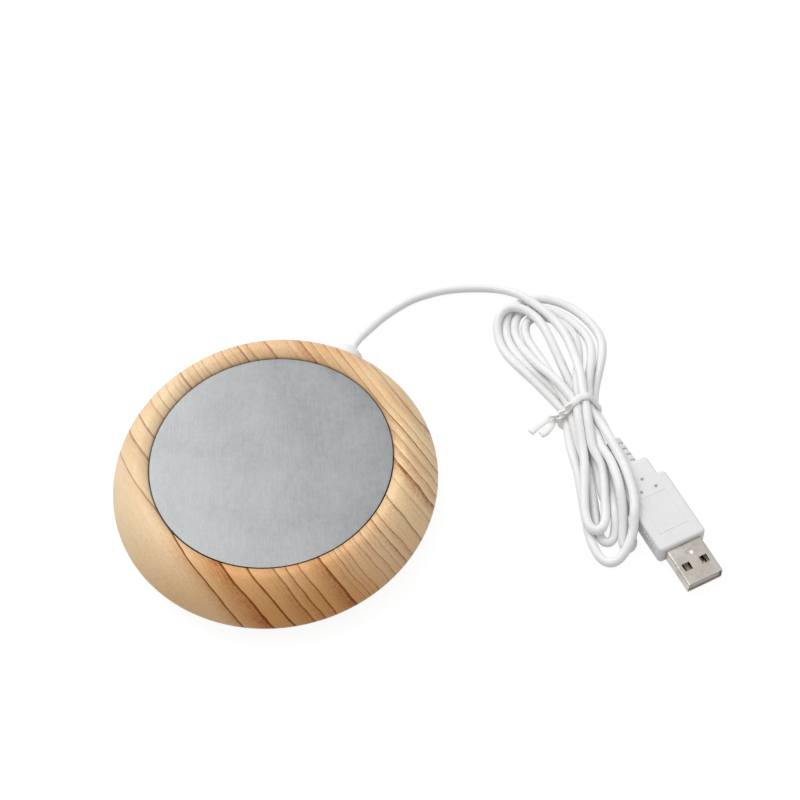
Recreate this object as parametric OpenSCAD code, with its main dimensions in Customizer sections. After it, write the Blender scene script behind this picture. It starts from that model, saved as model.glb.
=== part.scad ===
// Electric mug warmer: a steel heating plate in a turned wooden ring, on a 5 V lead
// that is tied up in a hank and ends in a type A plug.
// The origin is at the centre of the base, on the table. +Z is up and +Y is the rear,
// where the lead leaves the ring.

/* [Wooden ring] */
// Width of the ring from the plate's bore to its widest point
rim_w = 13.2; // [12.5:0.1:16]
// Height of the ring from its underside to its crest
ring_h = 20.3; // [19.5:0.1:24]
// Height of the widest point above the underside
belly_h = 6.4; // [5.5:0.1:8]
// Roundness of the upper flank, where 2 is an ellipse and 1 is a cone
flank_power = 1.57; // [1.3:0.01:2]
// Overhang of the lower flank round the flat underside
sole_tuck = 7.5; // [6.5:0.1:8]
// Width of the bevelled lip round the plate
lip_w = 3.2; // [2:0.1:4]
// Depth of the plate's face below the crest
lip_drop = 1.8; // [1:0.1:2.4]
// Width of the ledge that carries the plate
ledge_w = 3.3; // [2.5:0.1:4]
// Height of the lead's centre above the table
entry_z = 7.5; // [7.3:0.1:8]

/* [Heating plate] */
// Radius of the heating plate
plate_r = 38; // [34:0.5:42]
// Thickness of the heating plate
plate_t = 1.5; // [1:0.1:2.2]
// Broken edge round the plate's face
plate_edge = 0.3; // [0.1:0.1:0.5]
// Gap round the plate
plate_gap = 0.3; // [0.2:0.1:0.5]
// Thickness of the sealing ring under the plate
seal_t = 0.5; // [0.3:0.1:1]

/* [Heating element] */
// Gap between the heater and the ring's wall
heater_gap = 2; // [1.5:0.1:3]
// Thickness of each insulating film
film_t = 0.2; // [0.1:0.05:0.3]
// Thickness of the heating foil
track_t = 0.15; // [0.1:0.05:0.2]
// Width of the foil track
track_w = 1.7; // [1.2:0.1:2]
// Number of turns of the track
track_turns = 8; // [4:2:8]
// Radius of the innermost turn
track_r = 8; // [7:0.5:8]
// Gap in the turns where the track doubles back
track_gap = 4.4; // [4:0.1:5]
// Thickness of the insulation pad
pad_t = 3.5; // [3:0.1:4.5]
// Length of the thermal cut-out
cutout_l = 16; // [14:0.5:17]
// Width of the thermal cut-out
cutout_w = 6; // [5:0.1:7]
// Height of the thermal cut-out
cutout_h = 3.2; // [2.6:0.1:3.2]
// Diameter of the inner wires
wire_d = 1.2; // [0.8:0.1:1.3]

/* [Base] */
// Height that the feet hold the base off the table
foot_h = 1; // [0.8:0.1:1.6]
// Diameter of a foot
foot_d = 10; // [8:0.5:11]
// Distance from the middle of a foot to the ring's inner wall
foot_inset = 4; // [3:0.5:6]
// Width of the ring's underside round the base cover
sole_w = 3.3; // [2.8:0.1:3.6]
// Thickness of the base cover
cover_t = 2.6; // [2.2:0.1:2.7]
// Gap round the base cover
cover_gap = 0.3; // [0.2:0.1:0.5]
// Distance from a base screw to the ring's inner wall
screw_inset = 2.8; // [2.5:0.1:3]
// Diameter of a base screw
screw_d = 2.5; // [2:0.1:2.8]
// Length of a base screw
screw_l = 9.5; // [8:0.5:11]
// Distance from the heater's edge to the ring that supports it
support_inset = 3; // [2:0.1:3.5]
// Wall of the support ring
support_t = 1.8; // [1.4:0.1:2.2]

/* [Lead] */
// Diameter of the lead
cord_d = 3; // [2.6:0.1:3.2]
// Largest radius of the boss where the lead leaves the ring
boss_r = 5.2; // [4.8:0.1:5.8]
// Reach of the boss beyond the ring
boss_l = 4; // [3.5:0.1:4]
// Height of the tied hank
hank_h = 6.6; // [6.4:0.1:7.5]
// Width of the tie
tie_w = 2.6; // [2:0.1:3.5]
// Thickness of the tie
tie_t = 0.6; // [0.4:0.1:0.7]

/* [Plug] */
// Width of the moulded grip
grip_w = 16.2; // [15.4:0.1:16.6]
// Height of the moulded grip
grip_h = 7.6; // [7.2:0.1:8]
// Length of the wide part of the grip
grip_l = 26.3; // [25:0.1:26.5]
// Length of the narrow part behind it
grip_neck_l = 8.3; // [7.5:0.1:8.5]
// Width of the narrow part
grip_neck_w = 11.2; // [10:0.1:12]
// Length of the ribbed bend relief
relief_l = 9.8; // [9:0.1:9.8]
// Width of the steel shell
shell_w = 12; // [12:0.1:12.2]
// Height of the steel shell
shell_h = 4.5; // [4.4:0.1:4.6]
// Length of the shell beyond the grip
shell_l = 13; // [12:0.1:13.5]
// Wall of the steel shell
shell_t = 0.3; // [0.25:0.05:0.4]

/* [Hidden] */

$fn = 96;
// Depth that a cut runs past a face
over = 1;
// Clearance between round faces that fit in each other
fit = 0.1;

// Levels of the stack, measured from the table
sole_z = foot_h;
crest_z = sole_z + ring_h;
belly_z = sole_z + belly_h;
plate_top_z = crest_z - lip_drop;
plate_z = plate_top_z - plate_t;
ledge_z = plate_z - seal_t;
cover_film_z = plate_z - film_t;
track_z = cover_film_z - track_t;
base_film_z = track_z - film_t;
pad_z = base_film_z - pad_t;
cover_top_z = sole_z + cover_t;

// Radii from the bore outwards, then from the ring's wall inwards
bore_r = plate_r + plate_gap;
crest_r = bore_r + lip_w;
ring_r = bore_r + rim_w;
sole_r = ring_r - sole_tuck;
rebate_r = sole_r - sole_w;
cover_r = rebate_r - cover_gap;
cavity_r = bore_r - ledge_w;
heater_r = cavity_r - heater_gap;
support_r = heater_r - support_inset;
screw_ring_r = cavity_r + screw_inset;
foot_ring_r = cavity_r - foot_inset;
// Degrees between the points of the ring's round flanks
flank_step = 5;

// Base details
foot_seat = 0.8;
foot_edge = 0.6;
foot_angles = [0, 90, 180, 270];
screw_angles = [45, 135, 225, 315];
screw_head_d = 5;
screw_head_h = 1.4;
screw_slot_w = 0.8;
screw_slot_l = 3;
clamp_inset = 10.5;
clamp_y = cavity_r - clamp_inset;
clamp_l = 6;
clamp_w = 17.5;
clamp_t = 1.6;
clamp_nip = 0.25;
clamp_screw_x = 6.3;
clamp_screw_d = 2.2;
clamp_screw_l = 6.4;
clamp_top_z = entry_z + cord_d / 2 + clamp_t;
clamp_head_d = 4.2;
clamp_head_h = 1.6;
support_window = 19;

// Terminals at the heater's rear edge, and the turns of the track inside them
terminal_x = 2.6;
terminal_inset = 2;
terminal_y = heater_r - terminal_inset;
terminal_l = 2.4;
terminal_w = 2.8;
track_outer_r = terminal_y - terminal_l / 2 - 0.8;
track_pitch = (track_outer_r - track_r) / (track_turns - 1);

// Openings for the cut-out and the wires
window_gap = 0.5;
window_end = 3.5;
window_l = cutout_l + 2 * window_end;
window_w = cutout_w + 2 * window_gap;
notch_w = 10;
notch_l = 3.5;
notch_y = terminal_y - notch_l;
wire_hole_d = wire_d + 0.8;
wire_sides = 8;

// Lead inside the ring
inner_l = 15;
inner_end_y = cavity_r - inner_l;
core_x = 0.75;
grommet_r = 2.8;
grommet_flange_r = 3.6;
grommet_flange_t = 1.6;
boss_rim = 0.9;
boss_nose_r = 1.95;
exit_y = ring_r + boss_l;

// Levels of the inner wires: beside the lead, and above the clamp
low_z = entry_z;
high_z = pad_z - wire_d / 2 - 0.9;
cutout_x = cutout_l / 2;
cutout_z = base_film_z - cutout_h / 2;
wire_x = 3;
// Routes of the inner wires, along the middle of each
live_route = [[core_x, inner_end_y, low_z], [core_x, inner_end_y - 1.5, low_z],
    [1.8, inner_end_y - 3, low_z], [2.7, inner_end_y - 4.7, low_z],
    [wire_x, inner_end_y - 6.5, low_z], [wire_x, inner_end_y - 13, low_z],
    [3.7, inner_end_y - 15.2, low_z + 0.5], [6, 2.6, low_z + 2], [8.6, 1, high_z - 1.4],
    [cutout_x + 2.2, 0.2, high_z + 0.3], [cutout_x + 2.4, 0, pad_z + 0.8],
    [cutout_x + 1.6, 0, cutout_z - 0.2], [cutout_x + 0.8, 0, cutout_z], [cutout_x, 0, cutout_z]];
link_route = [[-cutout_x, 0, cutout_z], [-cutout_x - 0.8, 0, cutout_z],
    [-cutout_x - 1.6, 0, cutout_z - 0.2], [-cutout_x - 2.4, 0, pad_z + 0.8],
    [-cutout_x - 2, 1, high_z + 0.6], [-cutout_x, 4, high_z], [-4, 7.5, high_z],
    [0, 11, high_z], [2.3, 14, high_z], [wire_x, 17, high_z], [wire_x, terminal_y - 7, high_z],
    [2.8, terminal_y - 4, high_z], [terminal_x, terminal_y - 1.3, high_z + 0.4],
    [terminal_x, terminal_y - 0.2, high_z + 1.5], [terminal_x, terminal_y, pad_z + 1.2],
    [terminal_x, terminal_y, track_z]];
return_route = [[-core_x, inner_end_y, low_z], [-core_x, inner_end_y - 2, low_z],
    [-1.2, inner_end_y - 3.8, low_z + 0.5], [-2, inner_end_y - 5.2, low_z + 1.6],
    [-2.6, inner_end_y - 5.4, low_z + 3.2], [-wire_x, inner_end_y - 4.4, high_z - 0.5],
    [-wire_x, inner_end_y - 2.5, high_z], [-wire_x, terminal_y - 7, high_z],
    [-2.8, terminal_y - 4, high_z], [-terminal_x, terminal_y - 1.3, high_z + 0.4],
    [-terminal_x, terminal_y - 0.2, high_z + 1.5], [-terminal_x, terminal_y, pad_z + 1.2],
    [-terminal_x, terminal_y, track_z]];
sleeve_l = 5;
sleeve_t = 0.4;

// Route of the free lead, along its middle
lead_route = [[0, exit_y, entry_z], [0, exit_y + 1.5, entry_z], [0.2, exit_y + 4.5, 7.1],
    [0.5, exit_y + 8, 5.9], [1, exit_y + 12, 4.3], [1.5, exit_y + 17, 2.7], [3, 77.5, 1.7],
    [5, 81.5, 1.5], [7.5, 85.5, 1.5], [11, 89, 1.5], [15, 92.5, 1.5], [19.5, 95.5, 1.5],
    [24, 97.5, 1.5], [28.5, 99.5, 1.6], [33, 100.5, 2.2], [37, 100.6, 3], [41, 99.9, 4],
    [44.5, 98.7, 4.6], [46.5, 98, 4.6]];

// Hank: the waist is where the tie goes round it, and its axis points along the upper loops
hank_pos = [77.5, 64.5];
hank_turn = 121;
waist_r = 7.7;
// Round ends of the loops, each along the axis, across it, and its radius
upper_left = [35.5, 14.5, 9.3];
upper_right = [33, 1, 15.2];
lower_end = [-47, -3.8, 9.9];
arc_steps = 20;
// Pocket that the end of the lead lies in
pocket_w = cord_d + 3;
pocket_l = 9;
// The waist is lifted over the tie
waist_lift = tie_t + 0.1;
waist_band = tie_w + 1;
tie_knot_r = 1.6;
tie_tail_l = [6.5, 5];
tie_tail_turn = [15, 50];
tie_tail_z = [0.4, 1.6];

// Plug, in its own frame: x runs forward from the front of the grip
plug_pos = [125, 30];
plug_turn = -39;
plug_way = [cos(plug_turn), sin(plug_turn), 0];
plug_z = grip_h / 2;
grip_corner_r = 2.2;
grip_front_r = 1.2;
grip_round_r = 1.7;
grip_neck_corner_r = 1.6;
neck_x = -grip_l - grip_neck_l;
relief_x = neck_x - relief_l;
relief_end = [plug_pos[0], plug_pos[1], plug_z] + relief_x * plug_way;
tail_route = [[84.2, 65, 2.8], [85.2, 64, 2.8], [87, 62, 3.1], relief_end - 1.5 * plug_way, relief_end];
relief_r = 2.6;
relief_tip_r = 2.2;
relief_room = 7;
groove_n = 4;
groove_w = 0.7;
groove_pitch = 2.4;
groove_depth = 0.8;
groove_web = 1;
pit_d = 1.1;
pit_depth = 0.5;
pits = [[-20.8, 2.6], [-20.8, -2.6], [-24.8, 0]];
panel_x = [-19, -5.5];
panel_w = 9.7;
panel_line = 0.5;
panel_raise = 0.15;
grip_rib_n = 9;
grip_rib_pitch = 1.3;
grip_rib_x = -4;
grip_rib_w = 0.5;
grip_rib_raise = 0.25;
grip_rib_h = 3.6;
shell_root = 6;
shell_corner_r = 0.5;
shell_window = 2.3;
shell_window_x = 7;
shell_window_y = 3;
shell_dimple_x = 3.2;
shell_dimple_r = 1;
tongue_h = 1.9;
tongue_gap = 0.1;
tongue_back = 1;
contact_w = 1;
contact_l = 8;
contact_t = 0.2;
contact_inset = 1.2;
// Places of the four contacts across the tongue
contact_y = [-3.5, -1, 1, 3.5];

// Point of the upper flank at angle a from the crest, g outside it
function flank_up(a, g = 0) = [crest_r + (ring_r - crest_r) * pow(sin(a), 2 / flank_power) + g * sin(a),
    belly_z + (crest_z - belly_z) * pow(cos(a), 2 / flank_power) + g * cos(a)];
// Point of the lower flank, a quarter of an ellipse, at angle a from the widest point
function flank_down(a, g = 0) = [sole_r + (ring_r - sole_r + g) * cos(a), belly_z - (belly_h + g) * sin(a)];
// Outline of the ring's outer face from crest to sole, g outside it
function flank(g = 0) = concat([for (a = [0:flank_step:90]) flank_up(a, g)],
    [for (a = [flank_step:flank_step:90]) flank_down(a, g)]);

function unit(v) = v / norm(v);
// Direction of a route at its point i
function heading(p, i) = unit(p[min(i + 1, len(p) - 1)] - p[max(i - 1, 0)]);
function across(t) = unit(cross(t, abs(t[2]) < 0.8 ? [0, 0, 1] : [1, 0, 0]));
// Side vectors of a route, carried from point to point without twist
function carry(p, s) = len(s) == len(p) ? s : let(t = heading(p, len(s)), q = s[len(s) - 1])
    carry(p, concat(s, [unit(q - t * (q * t))]));
// Ring of a tube round point i of a route
function hoop(p, s, i, r, n) = [for (k = [0:n - 1]) let(t = heading(p, i), a = 360 * k / n)
    p[i] + r * (cos(a) * s[i] + sin(a) * cross(t, s[i]))];

// Angle on the round end e where a line from point p touches it, on side s
function touch(p, e, s) = (atan2(e[1] - p[1], e[0] - p[0]) + 360) % 360
    + s * (90 + asin(e[2] / norm([e[0] - p[0], e[1] - p[1]])));
// Points along the round end e between two angles
function arc(e, from, to) = [for (i = [0:arc_steps]) let(a = from + (to - from) * i / arc_steps)
    [e[0] + e[2] * cos(a), e[1] + e[2] * sin(a)]];

// Tube of n sides along a route
module tube(p, d, n = 8) {
    s = carry(p, [across(heading(p, 0))]);
    m = len(p);
    points = [for (i = [0:m - 1]) each hoop(p, s, i, d / 2, n)];
    walls = [for (i = [0:m - 2], k = [0:n - 1]) let(a = i * n + k, b = i * n + (k + 1) % n) each
        [[a, b, b + n], [a, b + n, a + n]]];
    first = [for (k = [n - 1:-1:0]) k];
    last = [for (k = [0:n - 1]) (m - 1) * n + k];
    polyhedron(points, concat([first], walls, [last]), convexity = 10);
}

// Flat ring
module washer(outer, inner, h) {
    difference() {
        cylinder(r = outer, h = h);
        translate([0, 0, -over]) cylinder(r = inner, h = h + 2 * over);
    }
}

// Copies at the given angles on a circle
module around(angles, r) {
    for (a = angles) rotate(a) translate([r, 0, 0]) children();
}

// Outer face of the ring as a solid, g larger
module ring_envelope(g = 0) {
    rotate_extrude($fn = 192) polygon(concat([[0, crest_z + g]], flank(g), [[0, sole_z - g]]));
}

// Rectangle with round corners
module round_rect(w, h, r) {
    for (x = [-1, 1], y = [-1, 1]) translate([x * (w / 2 - r), y * (h / 2 - r)]) circle(r = r, $fn = 32);
    square([w - 2 * r, h], center = true);
    square([w, h - 2 * r], center = true);
}

// Places its children in the plug's own frame
module at_plug() {
    translate([plug_pos[0], plug_pos[1], 0]) rotate(plug_turn) children();
}

// Places its children in the hank's frame: x along its axis, y across it
module at_hank() {
    translate([hank_pos[0], hank_pos[1], 0]) rotate(hank_turn) children();
}

// Turned ring: round flanks, bevelled lip, plate seat, hollow, rebate for the base
module wood_ring() color("burlywood") {
    difference() {
        rotate_extrude($fn = 192) polygon(concat([[bore_r, plate_top_z - plate_edge]], flank(),
            [[rebate_r, sole_z], [rebate_r, cover_top_z], [cavity_r, cover_top_z],
            [cavity_r, ledge_z], [bore_r, ledge_z]]));
        translate([0, cavity_r / 2, entry_z]) rotate([-90, 0, 0]) cylinder(r = grommet_r + fit, h = ring_r);
        around(screw_angles, screw_ring_r) translate([0, 0, cover_top_z - over])
            cylinder(d = screw_d + fit, h = screw_l - cover_t + 2 * over);
    }
}

// Plain disc with a broken edge
module heating_plate() color("silver") {
    rotate_extrude($fn = 192) polygon([[0, plate_z], [plate_r, plate_z], [plate_r, plate_top_z - plate_edge],
        [plate_r - plate_edge, plate_top_z], [0, plate_top_z]]);
}

// Sealing ring on the ledge
module plate_seal() color("dimgray") {
    translate([0, 0, ledge_z]) washer(plate_r, cavity_r + fit, seal_t);
}

// Upper film, against the plate
module heater_cover_film() color("goldenrod") {
    translate([0, 0, cover_film_z]) cylinder(r = heater_r, h = film_t);
}

// Foil turns that double back at the gap, with the inner end led out through it
module track2d() {
    side_x = (track_gap + track_w) / 2;
    end_y = terminal_y + terminal_l / 2;
    // Overlap where two pieces of the track join
    joint = 0.6;
    for (i = [0:track_turns - 1]) difference() {
        circle(r = track_r + i * track_pitch + track_w / 2);
        circle(r = track_r + i * track_pitch - track_w / 2);
        translate([-track_gap / 2, 0]) square([track_gap, heater_r]);
    }
    for (i = [0:track_turns - 2])
        translate([(i % 2 == 0 ? side_x : -side_x) - track_w / 2, track_r + i * track_pitch - joint])
            square([track_w, track_pitch]);
    start_y = track_r - (track_w + joint) / 2;
    translate([-side_x, start_y]) square([side_x + track_w / 2, track_w]);
    translate([-track_w / 2, start_y]) square([track_w, end_y - start_y]);
    translate([0, end_y - terminal_l]) square([terminal_x + terminal_w / 2, terminal_l]);
    translate([-terminal_x - terminal_w / 2, end_y - terminal_l - joint])
        square([terminal_w, terminal_l + joint]);
}

// Serpentine heating foil
module heater_track() color("peru") {
    translate([0, 0, track_z]) linear_extrude(track_t) track2d();
}

// Holes for the wires that reach the foil
module terminal_holes(z, h) {
    for (x = [-terminal_x, terminal_x]) translate([x, terminal_y, z]) cylinder(d = wire_hole_d, h = h);
}

// Lower film, with holes for the two terminals
module heater_base_film() color("darkgoldenrod") {
    difference() {
        translate([0, 0, base_film_z]) cylinder(r = heater_r, h = film_t);
        terminal_holes(base_film_z - over, film_t + 2 * over);
    }
}

// Felt disc with a window for the cut-out and a notch for the terminals
module insulation_pad() color("whitesmoke") {
    difference() {
        translate([0, 0, pad_z]) cylinder(r = heater_r, h = pad_t);
        translate([-window_l / 2, -window_w / 2, pad_z - over]) cube([window_l, window_w, pad_t + 2 * over]);
        translate([-notch_w / 2, notch_y, pad_z - over]) cube([notch_w, heater_r, pad_t + 2 * over]);
    }
}

// Flat cut-out against the lower film, with a cap seam
module thermal_cutout() color("gainsboro") {
    cap_h = 0.5;
    low = base_film_z - cutout_h;
    translate([0, 0, low]) linear_extrude(cutout_h - cap_h) round_rect(cutout_l, cutout_w, 0.8);
    translate([0, 0, base_film_z - cap_h]) linear_extrude(cap_h)
        round_rect(cutout_l - 0.8, cutout_w - 0.8, 0.6);
}

module live_wire() color("firebrick") {
    tube(live_route, wire_d, wire_sides);
}

module return_wire() color("black") {
    tube(return_route, wire_d, wire_sides);
}

module link_wire() color("khaki") {
    tube(link_route, wire_d, wire_sides);
}

// Sleeve round the middle of a straight stretch between two points
module sleeve(a, b) {
    translate((a + b) / 2) rotate([90, 0, 0]) translate([0, 0, -sleeve_l / 2])
        washer(wire_d / 2 + fit + sleeve_t, wire_d / 2 + fit, sleeve_l);
}

// Heat-shrink over the joint in each wire
module wire_sleeves() color("darkslategray") {
    sleeve(live_route[4], live_route[5]);
    sleeve(link_route[9], link_route[10]);
    sleeve(return_route[6], return_route[7]);
}

// End of the lead, from the boss to where its cores part
module cord_inner() color("white") {
    translate([0, inner_end_y, entry_z]) rotate([-90, 0, 0]) cylinder(d = cord_d, h = exit_y - inner_end_y);
}

// Bar over the lead, with a groove for it and two screw holes
module cord_clamp() color("lightgray") {
    difference() {
        translate([-clamp_w / 2, clamp_y - clamp_l / 2, entry_z + clamp_nip])
            cube([clamp_w, clamp_l, cord_d / 2 + clamp_t - clamp_nip]);
        translate([0, clamp_y - clamp_l, entry_z]) rotate([-90, 0, 0])
            cylinder(d = cord_d + fit, h = 2 * clamp_l);
        for (x = [-clamp_screw_x, clamp_screw_x]) translate([x, clamp_y, entry_z])
            cylinder(d = clamp_screw_d + 0.4, h = cord_d + clamp_t);
    }
}

// Pan-head screws that pull the bar down
module clamp_screws() color("silver") {
    for (x = [-clamp_screw_x, clamp_screw_x]) translate([x, clamp_y, clamp_top_z]) difference() {
        union() {
            translate([0, 0, -clamp_screw_l])
                cylinder(d = clamp_screw_d, h = clamp_screw_l + clamp_head_h / 2);
            cylinder(d = clamp_head_d, h = clamp_head_h);
        }
        for (a = [0, 90]) rotate(a) translate([-1.1, -0.25, clamp_head_h - 0.8]) cube([2.2, 0.5, over]);
    }
}

// Disc with feet seats, screw holes, a ring that holds the heater up, and the lead's saddle
module base_cover() color("wheat") {
    saddle_h = entry_z - clamp_nip - cover_top_z;
    difference() {
        union() {
            translate([0, 0, sole_z]) cylinder(r = cover_r, h = cover_t);
            difference() {
                translate([0, 0, cover_top_z]) washer(support_r, support_r - support_t, pad_z - cover_top_z);
                translate([-support_window / 2, 0, cover_top_z]) cube([support_window, ring_r, pad_z]);
            }
            translate([-clamp_w / 2, clamp_y - clamp_l / 2, cover_top_z]) cube([clamp_w, clamp_l, saddle_h]);
        }
        around(foot_angles, foot_ring_r) translate([0, 0, sole_z - over])
            cylinder(d = foot_d + fit, h = foot_seat + over);
        around(screw_angles, screw_ring_r) {
            translate([0, 0, sole_z - over]) cylinder(d = screw_d + 0.5, h = cover_t + 2 * over);
            translate([0, 0, sole_z])
                cylinder(d1 = screw_head_d + 2 * fit, d2 = screw_d + 2 * fit, h = screw_head_h);
            translate([0, 0, sole_z - over]) cylinder(d = screw_head_d + 2 * fit, h = over);
        }
        translate([0, clamp_y - clamp_l, entry_z]) rotate([-90, 0, 0])
            cylinder(d = cord_d + fit, h = 2 * clamp_l);
        for (x = [-clamp_screw_x, clamp_screw_x]) translate([x, clamp_y, clamp_top_z - clamp_screw_l - 0.3])
            cylinder(d = clamp_screw_d + fit, h = clamp_screw_l);
    }
}

// Countersunk screws, flush with the cover
module base_screws() color("dimgray") {
    around(screw_angles, screw_ring_r) translate([0, 0, sole_z]) difference() {
        union() {
            cylinder(d1 = screw_head_d, d2 = screw_d, h = screw_head_h);
            cylinder(d = screw_d, h = screw_l - 1);
            translate([0, 0, screw_l - 1]) cylinder(d1 = screw_d, d2 = screw_d / 2, h = 1);
        }
        for (a = [0, 90]) rotate(a) translate([-screw_slot_l / 2, -screw_slot_w / 2, -over])
            cube([screw_slot_l, screw_slot_w, over + 0.8]);
    }
}

// Feet, each with a broken edge, set in the cover
module rubber_feet() color("darkslategray") {
    around(foot_angles, foot_ring_r) rotate_extrude() polygon([[0, 0], [foot_d / 2 - foot_edge, 0],
        [foot_d / 2, foot_edge], [foot_d / 2, foot_h + foot_seat], [0, foot_h + foot_seat]]);
}

// Flared boss that hugs the ring, a neck through the wall and a flange inside it
module strain_relief() color("white") {
    boss_y = ring_r + boss_rim;
    rise = boss_l - boss_rim;
    difference() {
        union() {
            difference() {
                translate([0, 0, entry_z]) rotate([-90, 0, 0]) rotate_extrude() polygon(concat(
                    [[0, ring_r - boss_r], [boss_r, ring_r - boss_r]],
                    [for (t = [0:0.125:1]) [boss_nose_r + (boss_r - boss_nose_r) * (1 + cos(180 * t)) / 2,
                        boss_y + rise * t]], [[0, exit_y]]));
                ring_envelope(fit);
            }
            intersection() {
                translate([0, cavity_r - 2, entry_z]) rotate([-90, 0, 0])
                    cylinder(r = grommet_r, h = boss_y - cavity_r + 2);
                translate([0, 0, sole_z]) cylinder(r = ring_r + 0.5, h = ring_h);
            }
            intersection() {
                translate([0, cavity_r - fit - grommet_flange_t, entry_z]) rotate([-90, 0, 0])
                    cylinder(r = grommet_flange_r, h = grommet_flange_t + over);
                translate([0, 0, sole_z]) cylinder(r = cavity_r - fit, h = ring_h);
            }
        }
        translate([0, cavity_r / 2, entry_z]) rotate([-90, 0, 0]) cylinder(d = cord_d + fit, h = ring_r);
    }
}

// Lead from the boss to the hank
module cord_lead() color("white") {
    tube(lead_route, cord_d);
}

// Tied loops in the hank's frame, with none of the cuts
module loops() {
    left = [0, waist_r];
    right = [0, -waist_r];
    step = upper_left - upper_right;
    shared = atan2(step[1], step[0]) - acos(-step[2] / norm([step[0], step[1]]));
    linear_extrude(hank_h) polygon(concat([right], arc(upper_right, touch(right, upper_right, -1), shared),
        arc(upper_left, shared, touch(left, upper_left, 1)), [left],
        arc(lower_end, touch(left, lower_end, -1), touch(right, lower_end, 1))));
}

// Room for the plug and its relief, in the plug's frame and g larger
module plug_room(g) {
    high = hank_h + 2 * over;
    translate([-grip_l - g, -grip_w / 2 - g, -over]) cube([grip_l + shell_l, grip_w + 2 * g, high]);
    translate([neck_x - g, -grip_neck_w / 2 - g, -over]) cube([grip_l, grip_neck_w + 2 * g, high]);
    translate([relief_x - relief_room, -relief_r - g, -over]) cube([grip_l, 2 * (relief_r + g), high]);
}

// Room for the lead's end at point a, which comes from point b
module pocket(a, b) {
    turn = atan2(b[1] - a[1], b[0] - a[0]);
    translate([a[0], a[1], 0]) rotate(turn) translate([0, -pocket_w / 2, -over])
        cube([pocket_l, pocket_w, hank_h + 2 * over]);
}

// Groove that the tie lies in, below the loops and on both sides of them
module waist_groove() {
    translate([-waist_band / 2, -2 * waist_r, -over]) cube([waist_band, 4 * waist_r, waist_lift + over]);
    for (y = [-2 * waist_r, waist_r]) translate([-waist_band / 2, y, -over])
        cube([waist_band, waist_r, hank_h + 2 * over]);
}

// Tied loops as one plain solid, pinched at the waist by the tie
module cord_hank() color("white") {
    last = len(lead_route) - 1;
    difference() {
        at_hank() loops();
        at_hank() waist_groove();
        at_plug() plug_room(0.3);
        pocket(lead_route[last], lead_route[last - 1]);
        pocket(tail_route[0], tail_route[1]);
    }
}

// Lead from the hank to the plug
module cord_tail() color("white") {
    tube(tail_route, cord_d);
}

// Ribbon tie round the waist, with a knot and two cut tails
module twist_tie() color("white") {
    half = waist_r + 0.15;
    high = hank_h + 0.15;
    at_hank() {
        translate([-tie_w / 2, 0, 0]) difference() {
            translate([0, -half - tie_t, 0]) cube([tie_w, 2 * (half + tie_t), high + tie_t]);
            translate([-over, -half, tie_t]) cube([tie_w + 2 * over, 2 * half, high - tie_t]);
        }
        translate([-tie_w / 2, half + tie_t + tie_knot_r - 0.2, tie_knot_r]) rotate([0, 90, 0])
            cylinder(r = tie_knot_r, h = tie_w);
        for (i = [0, 1]) translate([0, half + tie_t + tie_knot_r, tie_tail_z[i]])
            rotate(90 + tie_tail_turn[i]) translate([0, -tie_w / 2, 0])
                cube([tie_tail_l[i] + tie_knot_r, tie_w, tie_t]);
    }
}

// Bend relief with grooves that leave a web above and below
module plug_relief() color("white") {
    taper = (relief_r - relief_tip_r) / relief_l;
    at_plug() translate([relief_x, 0, plug_z]) rotate([90, 0, 90]) difference() {
        cylinder(r1 = relief_tip_r, r2 = relief_r, h = relief_l);
        for (i = [0:groove_n - 1]) difference() {
            translate([0, 0, relief_l - 0.6 - groove_w - i * groove_pitch])
                washer(relief_r + over, relief_tip_r - groove_depth + taper, groove_w);
            translate([-groove_web / 2, -grip_w / 2, 0]) cube([groove_web, grip_w, relief_l]);
        }
    }
}

// Plan of the wide part, with small corners in front and larger ones at the shoulders
module grip_plan() {
    translate([-grip_l / 4, 0]) round_rect(grip_l / 2, grip_w, grip_front_r);
    translate([-grip_l * 5 / 8, 0]) round_rect(grip_l * 3 / 4, grip_w, grip_corner_r);
}

// Block with a plan and the same round edges all along, from x back to front
module moulded(x, long, wide) {
    intersection() {
        linear_extrude(grip_h) children();
        translate([x, 0, plug_z]) rotate([90, 0, 90]) linear_extrude(long)
            round_rect(wide, grip_h, grip_round_r);
    }
}

// Moulded grip: round edges, shoulders, pits, an outlined panel, ribs and the shell's socket
module plug_body() color("white") {
    neck_mid = neck_x + grip_l / 2;
    at_plug() difference() {
        union() {
            moulded(-grip_l, grip_l, grip_w) grip_plan();
            moulded(neck_x, grip_l, grip_neck_w)
                translate([neck_mid, 0]) round_rect(grip_l, grip_neck_w, grip_neck_corner_r);
            panel_lines();
            grip_ribs();
        }
        for (p = pits) translate([p[0], p[1], grip_h - pit_depth]) cylinder(d = pit_d, h = over);
        translate([-shell_root, -shell_w / 2, plug_z - shell_h / 2])
            cube([shell_root + over, shell_w, shell_h]);
    }
}

// Fine raised outline on the grip's upper face
module panel_lines() {
    run = panel_x[1] - panel_x[0];
    translate([panel_x[0] + run / 2, 0, grip_h - panel_raise]) linear_extrude(2 * panel_raise) difference() {
        square([run, panel_w], center = true);
        square([run - 2 * panel_line, panel_w - 2 * panel_line], center = true);
    }
}

// Upright ribs on both sides of the grip
module grip_ribs() {
    for (s = [-1, 1], i = [0:grip_rib_n - 1])
        translate([grip_rib_x - i * grip_rib_pitch, s * grip_w / 2 - grip_rib_raise, plug_z - grip_rib_h / 2])
            cube([grip_rib_w, 2 * grip_rib_raise, grip_rib_h]);
}

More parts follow.
